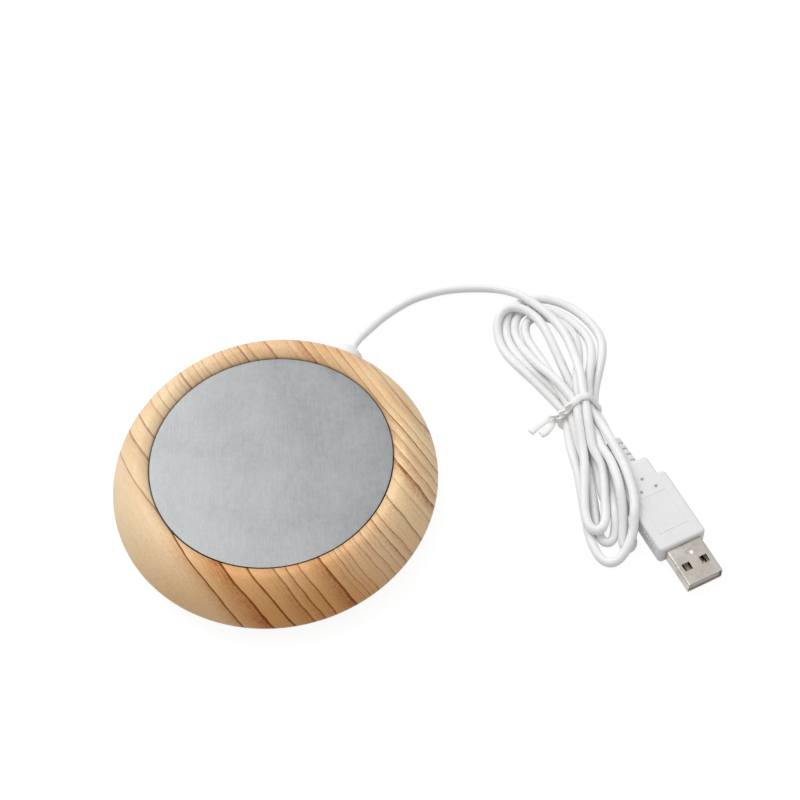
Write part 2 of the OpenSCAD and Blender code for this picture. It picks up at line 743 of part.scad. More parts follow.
// Folded shell: a flat tube with windows in both faces, a dimple and a seam below
module plug_shell() color("lightsteelblue") {
    long = shell_root + shell_l;
    at_plug() translate([-shell_root, 0, plug_z]) difference() {
        rotate([90, 0, 90]) linear_extrude(long) difference() {
            round_rect(shell_w, shell_h, shell_corner_r);
            square([shell_w - 2 * shell_t, shell_h - 2 * shell_t], center = true);
        }
        for (y = [-shell_window_y, shell_window_y]) translate([shell_root + shell_window_x, y, 0])
            cube([shell_window, shell_window, 2 * shell_h], center = true);
        translate([shell_root + shell_dimple_x, 0, shell_h / 2 + 0.8]) sphere(r = shell_dimple_r, $fn = 32);
        translate([-over, -0.05, -shell_h]) cube([long + 2 * over, 0.1, shell_h]);
    }
}

// Insulator along the floor of the shell, with slots for the contacts
module plug_tongue() color("white") {
    wide = shell_w - 2 * (shell_t + tongue_gap);
    floor_z = plug_z - shell_h / 2 + shell_t;
    long = shell_root + shell_l - contact_inset / 2;
    at_plug() difference() {
        union() {
            translate([-shell_root, -wide / 2, floor_z]) cube([long, wide, tongue_h]);
            translate([-shell_root, -wide / 2, floor_z])
                cube([shell_root - tongue_back, wide, shell_h - 2 * shell_t]);
        }
        contact_slots(floor_z, 0.05);
    }
}

// Space of the four contacts, g wider
module contact_slots(floor_z, g) {
    back = shell_l - contact_inset - contact_l;
    for (y = contact_y) translate([back - g, y - contact_w / 2 - g, floor_z + tongue_h - contact_t])
        cube([contact_l + 2 * g, contact_w + 2 * g, contact_t + (g > 0 ? over : 0)]);
}

// Contact strips, flush with the tongue
module plug_contacts() color("gold") {
    at_plug() contact_slots(plug_z - shell_h / 2 + shell_t, 0);
}

wood_ring();
heating_plate();
plate_seal();
heater_cover_film();
heater_track();
heater_base_film();
insulation_pad();
thermal_cutout();
live_wire();
return_wire();
link_wire();
wire_sleeves();
cord_inner();
cord_clamp();
clamp_screws();
base_cover();
base_screws();
rubber_feet();
strain_relief();
cord_lead();
cord_hank();
cord_tail();
twist_tie();
plug_relief();
plug_body();
plug_shell();
plug_tongue();
plug_contacts();
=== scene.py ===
"""Electric mug warmer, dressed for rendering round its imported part.

A turned wooden ring holds a brushed steel heating plate. A thin lead leaves the ring
through a flared boss, is tied up in a hank and ends in a flat plug. Sizes in the classes
are in millimetres and every mesh is in metres, in the part's own frame.
"""

import logging
import math
from collections.abc import Callable, Iterator, Sequence
from contextlib import contextmanager
from dataclasses import dataclass
from enum import Enum

import bmesh
import bpy
import numpy as np
from mathutils import Matrix, Quaternion, Vector


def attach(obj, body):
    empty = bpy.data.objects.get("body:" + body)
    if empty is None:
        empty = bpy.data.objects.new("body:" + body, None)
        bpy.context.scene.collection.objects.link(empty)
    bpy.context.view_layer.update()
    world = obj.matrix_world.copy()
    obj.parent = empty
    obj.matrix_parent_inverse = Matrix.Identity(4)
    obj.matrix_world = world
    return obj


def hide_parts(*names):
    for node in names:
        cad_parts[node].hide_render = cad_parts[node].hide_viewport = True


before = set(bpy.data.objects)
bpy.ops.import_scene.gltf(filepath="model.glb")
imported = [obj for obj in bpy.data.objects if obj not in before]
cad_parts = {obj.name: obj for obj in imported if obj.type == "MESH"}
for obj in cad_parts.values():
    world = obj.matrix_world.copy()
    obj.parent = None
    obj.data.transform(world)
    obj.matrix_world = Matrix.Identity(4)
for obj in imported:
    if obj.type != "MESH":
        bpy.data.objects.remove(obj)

LOG = logging.getLogger("mug_warmer")
MM = 0.001
Point = tuple[float, float, float]
Colour = tuple[float, float, float, float]
Socket = bpy.types.NodeSocket
Piece = bpy.types.Object


def paint(code: str) -> Colour:
    """Turns six hexadecimal digits, red first, into the linear values that a shader takes."""
    parts = [int(code[i:i + 2], 16) / 255 for i in (0, 2, 4)]
    return (*[c / 12.92 if c <= 0.04045 else ((c + 0.055) / 1.055) ** 2.4 for c in parts], 1.0)


class Kind(Enum):
    """What an edit-mode selection is made of."""

    VERT = "verts"
    EDGE = "edges"
    FACE = "faces"


# ---------------------------------------------------------------- modelling bench


def clear_selection() -> None:
    """Deselects everything, so that an operator meets only the piece in work."""
    for item in bpy.context.selected_objects:
        item.select_set(False)


def place_new(name: str, data: bpy.types.ID) -> Piece:
    """Makes an object from its data and puts it into the scene.

    Args:
        name: Name of the object.
        data: Its mesh, curve, camera or lamp.

    Returns:
        The new object.
    """
    piece = bpy.data.objects.new(name, data)
    bpy.context.scene.collection.objects.link(piece)
    return piece


def start(primitive: Callable[..., set], name: str, **settings: object) -> Piece:
    """Adds a primitive as the start of a piece.

    Args:
        primitive: The operator that adds it.
        name: Name of the new piece.
        **settings: The operator's own settings.

    Returns:
        The new piece.
    """
    clear_selection()
    primitive(**settings)
    piece = bpy.context.active_object
    piece.name = piece.data.name = name
    return piece


def rod(name: str, radius: float, length: float, centre: Point, vertices: int = 32,
        **settings: object) -> Piece:
    """Adds a cylinder, upright unless turned, with its sizes and centre in millimetres."""
    return start(bpy.ops.mesh.primitive_cylinder_add, name, vertices=vertices, radius=radius * MM,
                 depth=length * MM, location=[c * MM for c in centre], **settings)


def make_active(piece: Piece) -> None:
    """Selects one piece alone and makes it active.

    Args:
        piece: The piece.
    """
    clear_selection()
    piece.select_set(True)
    bpy.context.view_layer.objects.active = piece


@contextmanager
def editing(piece: Piece, kind: Kind = Kind.FACE) -> Iterator[None]:
    """Opens a piece in edit mode with nothing selected, and closes it afterwards.

    Args:
        piece: The piece to edit.
        kind: What is picked in it.
    """
    make_active(piece)
    bpy.ops.object.mode_set(mode="EDIT")
    bpy.ops.mesh.select_mode(type=kind.name)
    bpy.ops.mesh.select_all(action="DESELECT")
    try:
        yield
    finally:
        bpy.ops.object.mode_set(mode="OBJECT")


def pick(piece: Piece, kind: Kind, test: Callable[[object], bool]) -> None:
    """Selects the parts of the piece in edit mode that pass a test, and nothing else.

    Args:
        piece: The piece in edit mode.
        kind: What is picked.
        test: Says whether a vertex, edge or face is wanted.
    """
    bpy.ops.mesh.select_mode(type=kind.name)
    bpy.ops.mesh.select_all(action="DESELECT")
    shape = bmesh.from_edit_mesh(piece.data)
    shape.normal_update()
    for part in [part for part in getattr(shape, kind.value) if test(part)]:
        part.select_set(True)
    shape.select_flush_mode()
    bmesh.update_edit_mesh(piece.data)


def pick_all() -> None:
    """Selects the whole of the piece in edit mode."""
    bpy.ops.mesh.select_all(action="SELECT")


def middle(part: object) -> Vector:
    """Centre of an edge or a face, in millimetres."""
    return sum((v.co for v in part.verts), Vector()) / len(part.verts) / MM


def push(x: float, y: float, z: float) -> None:
    """Extrudes the picked faces of the piece in edit mode, in millimetres."""
    bpy.ops.mesh.extrude_region_move(TRANSFORM_OT_translate={"value": (x * MM, y * MM, z * MM)})


def finish_with(piece: Piece, kind: str, **settings: object) -> None:
    """Adds a modifier to a piece and applies it at once.

    Args:
        piece: The piece to change.
        kind: The modifier's type.
        **settings: The modifier's own settings.
    """
    make_active(piece)
    modifier = piece.modifiers.new("work", kind)
    for key, value in settings.items():
        setattr(modifier, key, value)
    bpy.ops.object.modifier_apply(modifier=modifier.name)


def cut_away(piece: Piece, tool: Piece) -> None:
    """Cuts the shape of a tool out of a piece and removes the tool."""
    finish_with(piece, "BOOLEAN", operation="DIFFERENCE", solver="EXACT", object=tool)
    bpy.data.objects.remove(tool)


def join(pieces: Sequence[Piece], name: str) -> Piece:
    """Joins meshes into the first of them, which takes the name and is returned.

    Args:
        pieces: The meshes to join.
        name: Name of the joined piece.

    Returns:
        The joined piece.
    """
    make_active(pieces[0])
    for piece in pieces[1:]:
        piece.select_set(True)
    bpy.ops.object.join()
    pieces[0].name = pieces[0].data.name = name
    return pieces[0]


def put(piece: Piece, place: Matrix) -> None:
    """Moves a piece and bakes its place into its mesh.

    Args:
        piece: The piece to move.
        place: Matrix to its new place.
    """
    make_active(piece)
    piece.matrix_world = place
    bpy.context.view_layer.update()
    bpy.ops.object.transform_apply(location=True, rotation=True, scale=True)


def smooth(piece: Piece, degrees: float, weighted: bool = False) -> None:
    """Shades a piece smooth, but for the edges sharper than an angle.

    Args:
        piece: The piece to shade.
        degrees: The angle.
        weighted: Whether large faces pull the normals at their edges flat.
    """
    make_active(piece)
    bpy.ops.object.shade_smooth_by_angle(angle=math.radians(degrees))
    if weighted:
        finish_with(piece, "WEIGHTED_NORMAL", weight=90, keep_sharp=True)


def close_up(piece: Piece) -> None:
    """Merges doubles and turns every face outwards.

    Args:
        piece: The piece to close.
    """
    with editing(piece):
        pick_all()
        bpy.ops.mesh.remove_doubles(threshold=2e-6)
        bpy.ops.mesh.normals_make_consistent(inside=False)


def turned(name: str, section: Sequence[Point], axis: Point, steps: int) -> Piece:
    """Spins a line of edges about an axis through the origin into a solid.

    Args:
        name: Name of the new piece.
        section: Points of the line, in millimetres.
        axis: Direction of the axis.
        steps: Steps of the full turn.

    Returns:
        The new piece.
    """
    mesh = bpy.data.meshes.new(name)
    mesh.from_pydata([tuple(c * MM for c in p) for p in section],
                     [(i, i + 1) for i in range(len(section) - 1)], [])
    piece = place_new(name, mesh)
    with editing(piece, Kind.EDGE):
        pick_all()
        bpy.ops.mesh.spin(steps=steps, angle=2 * math.pi, center=(0, 0, 0), axis=axis)
    close_up(piece)
    return piece


def polyline(name: str, points: Sequence[Point], flat: bool = False, closed: bool = False) -> Piece:
    """Draws a curve of straight runs.

    Args:
        name: Name of the curve.
        points: Its points, in millimetres.
        flat: Whether it is a plane outline.
        closed: Whether its end joins its start.

    Returns:
        The curve.
    """
    curve = bpy.data.curves.new(name, "CURVE")
    curve.dimensions = "2D" if flat else "3D"
    spline = curve.splines.new("POLY")
    spline.points.add(len(points) - 1)
    for at, point in zip(spline.points, points):
        at.co = (*[c * MM for c in point], 1.0)
    spline.use_cyclic_u = closed
    return place_new(name, curve)


def show(piece: Piece, material: bpy.types.Material, slot: str, *nodes: str) -> None:
    """Dresses a finished piece and hands it to the frame.

    Args:
        piece: The finished piece.
        material: Its material.
        slot: Name of a material slot; not used.
        *nodes: The nodes that it stands for.
    """
    piece.data.materials.clear()
    piece.data.materials.append(material)
    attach(piece, "root")
    if nodes:
        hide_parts(*nodes)
    LOG.info("%s: %s", piece.name, material.name)


# ---------------------------------------------------------------- shader bench


class Wires:
    """Short hand for building the nodes of a material, a world or a shader node group."""

    def __init__(self, tree: bpy.types.NodeTree) -> None:
        """Starts on a tree."""
        self.tree = tree

    def add(self, kind: str, inputs: dict | None = None, **settings: object) -> bpy.types.Node:
        """Adds a node.

        Args:
            kind: The node's type, without its prefix.
            inputs: Values or sockets by input name or number.
            **settings: The node's own settings.

        Returns:
            The new node.
        """
        node = self.tree.nodes.new("ShaderNode" + kind)
        for key, value in settings.items():
            setattr(node, key, value)
        for key, value in (inputs or {}).items():
            self.feed(node.inputs[key], value)
        return node

    def feed(self, socket: Socket, value: object) -> None:
        """Links a socket to an input, or sets the input to a value.

        Args:
            socket: The input.
            value: A socket to link, or a value to set.
        """
        if isinstance(value, Socket):
            self.tree.links.new(value, socket)
        else:
            socket.default_value = value

    def shade(self, **values: object) -> None:
        """Feeds the principled shader's sockets, by name with underscores for spaces.

        Args:
            **values: Sockets or values by the input's name.
        """
        shader = self.tree.nodes["Principled BSDF"]
        for key, value in values.items():
            self.feed(shader.inputs[key.replace("_", " ").title().replace("Ior", "IOR")], value)

    def math(self, operation: str, *values: object, clamp: bool = False) -> Socket:
        """Adds a sum of one, two or three values and returns its result."""
        return self.add("Math", dict(enumerate(values)), operation=operation,
                        use_clamp=clamp).outputs[0]

    def times(self, product: object, *values: object, clamp: bool = False) -> Socket:
        """Multiplies values one after another and returns the product.

        Args:
            product: The first value.
            *values: The others.
            clamp: Whether each product is held between 0 and 1.

        Returns:
            The product.
        """
        for value in values:
            product = self.math("MULTIPLY", product, value, clamp=clamp)
        return product

    def between(self, value: object, low: float, high: float, to_low: float = 0.0,
                to_high: float = 1.0, soft: bool = False) -> Socket:
        """Maps a range of values to another, with its ends held.

        Args:
            value: The value to map.
            low: Where the range starts.
            high: Where it ends.
            to_low: Result at its start.
            to_high: Result at its end.
            soft: Whether the result eases in and out.

        Returns:
            The mapped value.
        """
        return self.add("MapRange", {0: value, 1: low, 2: high, 3: to_low, 4: to_high}, clamp=True,
                        interpolation_type="SMOOTHSTEP" if soft else "LINEAR").outputs[0]

    def noise(self, vector: object, scale: object, detail: float = 2.0, roughness: float = 0.5,
              distortion: float = 0.0) -> Socket:
        """Adds noise in space and returns its value, from 0 to 1."""
        return self.add("TexNoise", {"Vector": vector, "Scale": scale, "Detail": detail,
                                     "Roughness": roughness, "Distortion": distortion}).outputs[0]

    def line_noise(self, value: object, scale: float) -> Socket:
        """Adds noise along one value and returns it, from 0 to 1."""
        return self.add("TexNoise", {"W": value, "Scale": scale, "Detail": 2.0},
                        noise_dimensions="1D").outputs[0]

    def mix(self, share: object, first: object, second: object) -> Socket:
        """Mixes two colours and returns the result."""
        return self.add("Mix", {0: share, 6: first, 7: second}, data_type="RGBA").outputs[2]

    def place(self, degrees: float = 0.0) -> Socket:
        """Returns the piece's own coordinates, turned about the upright axis."""
        return self.add("VectorRotate", {"Vector": self.add("TexCoord").outputs["Object"],
                                         "Angle": math.radians(degrees)},
                        rotation_type="Z_AXIS").outputs[0]

    def scaled(self, vector: object, first: float, others: float = 1.0) -> Socket:
        """Scales a vector along its first axis and along the two others."""
        return self.add("VectorMath", {0: vector, 1: (first, others, others)},
                        operation="MULTIPLY").outputs[0]

    def streaks(self, vector: object, scale: float) -> Socket:
        """Adds the group of fine parallel streaks along the vector's first axis."""
        return self.add("Group", {"Vector": vector, "Scale": scale},
                        node_tree=streak_group()).outputs[0]

    def mottle(self, vector: object, broad: float, fine: float) -> Socket:
        """Adds the group of soft unevenness, with the scales of its two clouds."""
        return self.add("Group", {"Vector": vector, "Broad": broad, "Fine": fine},
                        node_tree=mottle_group()).outputs[0]

    def bump(self, height: object, depth: float) -> Socket:
        """Turns a height into a normal; the depth is in millimetres."""
        return self.add("Bump", {"Height": height, "Distance": depth * MM}).outputs[0]


def group(name: str, numbers: Sequence[str],
          build: Callable[[Wires, object], Socket]) -> bpy.types.NodeTree:
    """Makes a shader node group once, which gives a value for a vector and some numbers.

    Args:
        name: Name of the group.
        numbers: Names of the numbers.
        build: Builds the inside from the wires and the inner inputs, and returns the value.

    Returns:
        The group's tree.
    """
    if name in bpy.data.node_groups:
        return bpy.data.node_groups[name]
    tree = bpy.data.node_groups.new(name, "ShaderNodeTree")
    for key, side in (("Vector", "INPUT"), *((n, "INPUT") for n in numbers), ("Value", "OUTPUT")):
        kind = "NodeSocketVector" if key == "Vector" else "NodeSocketFloat"
        tree.interface.new_socket(name=key, in_out=side, socket_type=kind)
    source, target = tree.nodes.new("NodeGroupInput"), tree.nodes.new("NodeGroupOutput")
    wires = Wires(tree)
    wires.feed(target.inputs["Value"], build(wires, source.outputs))
    return tree


def mottle_group() -> bpy.types.NodeTree:
    """Group for soft unevenness: a broad and a fine cloud in one value round zero.

    Returns:
        The group's tree.
    """

    def build(wires: Wires, given: object) -> Socket:
        """Adds the two clouds and brings their middle to zero.

        Args:
            wires: Wires of the group.
            given: The group's inputs.

        Returns:
            The value.
        """
        broad, fine = (wires.noise(given["Vector"], given[key]) for key in ("Broad", "Fine"))
        return wires.math("SUBTRACT", wires.math("MULTIPLY_ADD", fine, 0.5, broad), 0.75)

    return group("soft mottle", ("Broad", "Fine"), build)


def streak_group() -> bpy.types.NodeTree:
    """Group for fine parallel streaks: a coarse noise and a fine one in one value.

    Returns:
        The group's tree.
    """

    def build(wires: Wires, given: object) -> Socket:
        """Adds the coarse and the fine noise, the fine one weaker.

        Args:
            wires: Wires of the group.
            given: The group's inputs.

        Returns:
            The value.
        """
        coarse = wires.noise(given["Vector"], given["Scale"], 3.0, 0.6)
        fine = wires.noise(given["Vector"], wires.times(given["Scale"], 3.7))
        return wires.math("ADD", wires.times(coarse, 0.6), wires.times(fine, 0.4))

    return group("fine streaks", ("Scale",), build)


def new_material(name: str) -> tuple[bpy.types.Material, Wires]:
    """Makes a material with one principled shader, and returns it with its wires.

    Args:
        name: Name of the material.

    Returns:
        The material and the wires of its tree.
    """
    material = bpy.data.materials.new(name)
    material.use_nodes = True
    return material, Wires(material.node_tree)


# ---------------------------------------------------------------- finishes


@dataclass(frozen=True)
class TurnedPine:
    """Clear-varnished pine, its growth lines running through the block as leaning planes."""

    # Lighter tone, used only as painted light on one side of the ring
    light: str = "F8DFB2"
    pale: str = "EED6B2"
    honey: str = "E2B47C"
    # Darker orange tone, mixed in faintly at the rear and low on the front flank, where it is
    # partly painted shade
    glow: str = "D89855"
    late: str = "96460A"
    line: str = "7C3A00"
    turn: float = 30.7
    lean: float = 0.3
    gloss: float = 0.12
    # Place of each growth line across the block, and the depths of its band and its edge
    rings: tuple[Point, ...] = (
        (-36.5, 0.0, 0.0), (-32.0, 0.4, 0.9), (-25.0, 1.0, 0.9), (-19.5, 0.25, 1.0),
        (-13.5, 0.5, 0.5), (-10.5, 0.6, 0.8), (-7.0, 0.4, 0.8), (-0.5, 1.0, 0.9),
        (2.5, 0.2, 0.3), (4.2, 0.2, 0.8), (5.6, 0.2, 0.5), (7.2, 0.3, 0.8), (11.5, 0.2, 0.3),
        (14.4, 0.4, 0.5), (17.2, 0.3, 0.3), (19.8, 0.7, 0.6), (22.6, 0.3, 0.6),
        (27.8, 0.3, 0.5), (33.5, 0.2, 0.2), (37.5, 1.0, 0.5), (40.0, 0.6, 0.3),
        (42.7, 0.3, 0.5), (45.4, 0.5, 0.8), (47.6, 0.3, 0.4), (51.5, 0.6, 0.5),
        (54.5, 0.4, 0.5), (58.5, 0.3, 0.4))

    def growth(self, wires: Wires) -> tuple[Socket, ...]:
        """Gives a point along and up, its place in the growth and the vector itself.

        Args:
            wires: Wires of the material.

        Returns:
            The place along, the height, the place in the growth, and the vector in millimetres.
        """
        where = wires.scaled(wires.place(self.turn), 1000.0, 1000.0)
        along, side, up = wires.add("SeparateXYZ", {0: where}).outputs
        growth = wires.math("MULTIPLY_ADD", up, self.lean, side)
        for scale, size in ((0.08, 2.4), (0.9, 0.3)):
            wave = wires.noise(wires.scaled(where, 0.3), scale)
            growth = wires.math("MULTIPLY_ADD", wave, size, growth)
        return along, up, wires.math("SUBTRACT", growth, 1.35), where

    def rings_at(self, wires: Wires, growth: object) -> tuple[Socket, ...]:
        """Counts the growth lines, and says how deep the next band and its edge are.

        Args:
            wires: Wires of the material.
            growth: Place in the growth.

        Returns:
            The count, the depth of the band and the depth of its edge.
        """
        count: object = 0.0
        depths: list[object] = [0.0, 0.0]
        for (place, *_), (following, *wanted) in zip(self.rings, self.rings[1:]):
            count = wires.math("ADD", count, wires.between(growth, place, following))
            inside = wires.math("MULTIPLY", wires.math("GREATER_THAN", growth, place),
                                wires.math("LESS_THAN", growth, following))
            depths = [wires.math("MULTIPLY_ADD", inside, value, depth)
                      for value, depth in zip(wanted, depths)]
        return (count, *depths)

    def material(self) -> bpy.types.Material:
        """Builds the wood: each growth line is a band that darkens up to a sharp edge, with painted
        light on one side and partly painted shade low on the front.

        Returns:
            The material.
        """
        material, wires = new_material("turned pine")
        along, up, growth, where = self.growth(wires)
        count, deep, sharp = self.rings_at(wires, growth)
        phase = wires.math("FRACT", count)
        slow = wires.scaled(where, 0.4)
        rear = wires.times(wires.between(growth, -4.0, 22.0, soft=True),
                           wires.between(along, -6.0, -30.0, soft=True))
        front = wires.math("MAXIMUM", wires.between(along, -12.0, 18.0, soft=True),
                           wires.times(rear, 0.8))
        patch = wires.between(wires.noise(slow, 0.07), 0.34, 0.6, 0.7, 1.0)
        fibre = wires.streaks(wires.scaled(where, 0.05), 1.3)
        band = wires.times(
            wires.math("POWER", wires.between(phase, 0.05, 0.97), 1.3),
            wires.between(fibre, 0.4, 0.58, 0.4, 1.0), wires.between(phase, 1.0, 0.975),
            deep, patch, wires.between(front, 0.0, 1.0, 0.25, 1.0))
        edge = wires.times(
            wires.between(phase, 0.82, 0.96, soft=True), wires.between(phase, 1.0, 0.97, soft=True),
            sharp, patch, wires.between(front, 0.0, 1.0, 0.7, 1.35), clamp=True)
        fine = wires.math("FRACT", wires.math("MULTIPLY_ADD", wires.line_noise(growth, 0.6), 2.0,
                                              wires.times(growth, 0.5)))
        fine = wires.times(
            wires.between(fine, 0.5, 0.95), wires.between(fine, 1.0, 0.96),
            wires.between(wires.noise(slow, 0.12), 0.42, 0.66, 0.0, 0.3),
            wires.between(growth, -30.0, -8.0))
        fine = wires.math("ADD", fine, wires.times(band, wires.between(
            wires.line_noise(growth, 1.4), 0.46, 0.6, 0.0, 0.7)), clamp=True)
        pore = wires.between(wires.noise(wires.scaled(where, 0.16), 4.2, 2.0, 0.7),
                             0.5, 0.72, 0.0, 0.36)
        cloud = wires.between(wires.noise(slow, 0.04), 0.4, 0.68, 0.0, 0.45)
        warm = wires.between(along, -6.0, 30.0, 0.0, 0.3, soft=True)
        # Partly real tone and partly painted shade: low on the front flank the wood is mixed
        # towards the darker orange, more so lower down
        zone = wires.times(wires.between(growth, -40.0, -26.0, soft=True),
                           wires.between(growth, 20.0, -4.0, soft=True),
                           wires.between(along, 2.0, 26.0, 0.0, 0.8, soft=True),
                           wires.between(up, 21.0, 13.0, 0.6, 1.0))
        # Painted light: one side of the ring is mixed towards the lighter tone, as if more light
        # fell there
        painted_light = wires.times(wires.between(growth, 16.0, 34.0, soft=True),
                             wires.between(along, 0.0, 20.0, 0.0, 0.7, soft=True))
        base: object = paint(self.pale)
        for share, colour in (
                (wires.math("ADD", cloud, warm, clamp=True), self.honey),
                (wires.between(fibre, 0.4, 0.68, 0.0, 0.35), self.honey), (zone, self.glow),
                (wires.times(rear, 0.3), self.glow), (painted_light, self.light),
                (wires.times(pore, wires.between(front, 0.0, 1.0, 0.4, 1.0)), self.late),
                (fine, self.late), (band, self.late), (edge, self.line)):
            base = wires.mix(share, base, paint(colour))
        relief = wires.math("MULTIPLY_ADD", edge, -0.6, wires.times(fibre, 0.4))
        wires.shade(base_color=base, roughness=wires.between(fibre, 0.2, 0.8, 0.4, 0.54),
                    normal=wires.bump(relief, 0.04), specular_ior_level=self.gloss)
        return material


@dataclass(frozen=True)
class BrushedSteel:
    """Bare sheet steel with straight brush marks and a faint cloudy sheen."""

    dark: str = "666768"
    light: str = "8B8D8E"
    turn: float = 62.0
    stretch: float = 0.03
    scale: float = 3600.0
    shine: tuple[float, float] = (0.32, 0.4)
    depth: float = 0.002

    def material(self) -> bpy.types.Material:
        """Builds the steel.

        Returns:
            The material.
        """
        material, wires = new_material("brushed steel")
        where = wires.place(self.turn)
        brush = wires.streaks(wires.scaled(where, self.stretch), self.scale)
        cloud = wires.mottle(where, 60.0, 420.0)
        share = wires.math("ADD", cloud, wires.between(brush, 0.3, 0.7, 0.1, 0.6))
        share = wires.math("MULTIPLY_ADD", wires.noise(where, 2600.0, 2.0, 0.6), 0.7,
                           wires.math("SUBTRACT", share, 0.2), clamp=True)
        rough = wires.math("MULTIPLY_ADD", cloud, 1.1, brush)
        wires.shade(base_color=wires.mix(share, paint(self.dark), paint(self.light)),
                    roughness=wires.between(rough, 0.2, 0.8, *self.shine),
                    normal=wires.bump(brush, self.depth), metallic=1.0)
        return material


@dataclass(frozen=True)
class Moulded:
    """Moulded plastic or rubber: an even colour with a faint cloud and a fine skin."""

    name: str
    colour: str
    shade: str
    roughness: tuple[float, float] = (0.38, 0.48)
    skin: float = 0.006
    grain: float = 3500.0

    def material(self) -> bpy.types.Material:
        """Builds the plastic.

        Returns:
            The material.
        """
        material, wires = new_material(self.name)
        where = wires.place()
        share = wires.between(wires.mottle(where, 70.0, 420.0), -0.25, 0.25)
        wires.shade(base_color=wires.mix(share, paint(self.colour), paint(self.shade)),
                    roughness=wires.between(share, 0.0, 1.0, *self.roughness),
                    normal=wires.bump(wires.noise(where, self.grain), self.skin))
        return material


@dataclass(frozen=True)
class Metal:
    """Small bare metal parts, with a soft tarnish and fine scratches."""

    name: str
    colour: str
    shade: str
    roughness: tuple[float, float] = (0.22, 0.36)
    turn: float = 0.0

    def material(self) -> bpy.types.Material:
        """Builds the metal.

        Returns:
            The material.
        """
        material, wires = new_material(self.name)
        where = wires.place(self.turn)
        scratch = wires.streaks(wires.scaled(where, 60.0, 1000.0), 3.0)
        share = wires.math("MULTIPLY_ADD", scratch, 0.35, wires.mottle(where, 180.0, 900.0))
        share = wires.between(share, -0.1, 0.45)
        wires.shade(base_color=wires.mix(share, paint(self.colour), paint(self.shade)),
                    roughness=wires.between(share, 0.0, 1.0, *self.roughness),
                    normal=wires.bump(scratch, 0.003), metallic=1.0)
        return material


@dataclass(frozen=True)
class Felt:
    """Pressed mineral felt: short crossed fibres on a soft, matt ground."""

    colour: str = "D9D5CB"
    shade: str = "B4ADA0"

    def material(self) -> bpy.types.Material:
        """Builds the felt.

        Returns:
            The material.
        """
        material, wires = new_material("pressed felt")
        where = wires.place()
        fibre = wires.noise(where, 900.0, 4.0, 0.7, 1.6)
        share = wires.math("MULTIPLY_ADD", wires.noise(where, 120.0, 3.0), 0.5,
                           wires.between(fibre, 0.3, 0.7, 0.0, 0.6))
        wires.shade(base_color=wires.mix(share, paint(self.colour), paint(self.shade)),
                    normal=wires.bump(fibre, 0.12), roughness=0.95, sheen_weight=0.25)
        return material


# ---------------------------------------------------------------- the plug's place


@dataclass
class PlugPlace:
    """Where the plug lies: its origin is the middle of the grip's front, on the table."""

    x: float = 125.0
    y: float = 30.0
    turn: float = -39.0
    centre_z: float = 3.8

    def matrix(self) -> Matrix:
        """Matrix from the plug's own frame to the part's frame."""
        return (Matrix.Translation((self.x * MM, self.y * MM, 0.0))
                @ Matrix.Rotation(math.radians(self.turn), 4, "Z"))

    def inside(self, points: np.ndarray) -> np.ndarray:
        """Turns points of the part's frame into the plug's frame, in millimetres.

        Args:
            points: Points of the part's frame, one a row.

        Returns:
            The same points in the plug's frame.
        """
        c, s = math.cos(math.radians(self.turn)), math.sin(math.radians(self.turn))
        x, y = points[:, 0] - self.x, points[:, 1] - self.y
        return np.stack([x * c + y * s, -x * s + y * c, points[:, 2]], 1)

    def outside(self, moves: np.ndarray) -> np.ndarray:
        """Turns moves of the plug's frame back into the part's frame.

        Args:
            moves: Moves of the plug's frame, one a row.

        Returns:
            The same moves in the part's frame.
        """
        c, s = math.cos(math.radians(self.turn)), math.sin(math.radians(self.turn))
        return np.stack([moves[:, 0] * c - moves[:, 1] * s, moves[:, 0] * s + moves[:, 1] * c,
                         moves[:, 2]], 1)

    def point(self, x: float, y: float, z: float) -> Point:
        """One point of the plug's frame in the part's frame, in millimetres."""
        moved = self.matrix() @ Vector((x * MM, y * MM, z * MM)) / MM
        return (moved.x, moved.y, moved.z)


# ---------------------------------------------------------------- the lead


@dataclass
class Loop:
    """One upper loop of the hank, from the waist out on the left and back on the right.

    Its reach, the depth of its round end and the half widths to its left and right are in
    millimetres, and so are its heights at the start of the end, on it and after it.
    """

    reach: float
    cap: float
    left: float
    right: float
    lean: float
    heights: Point


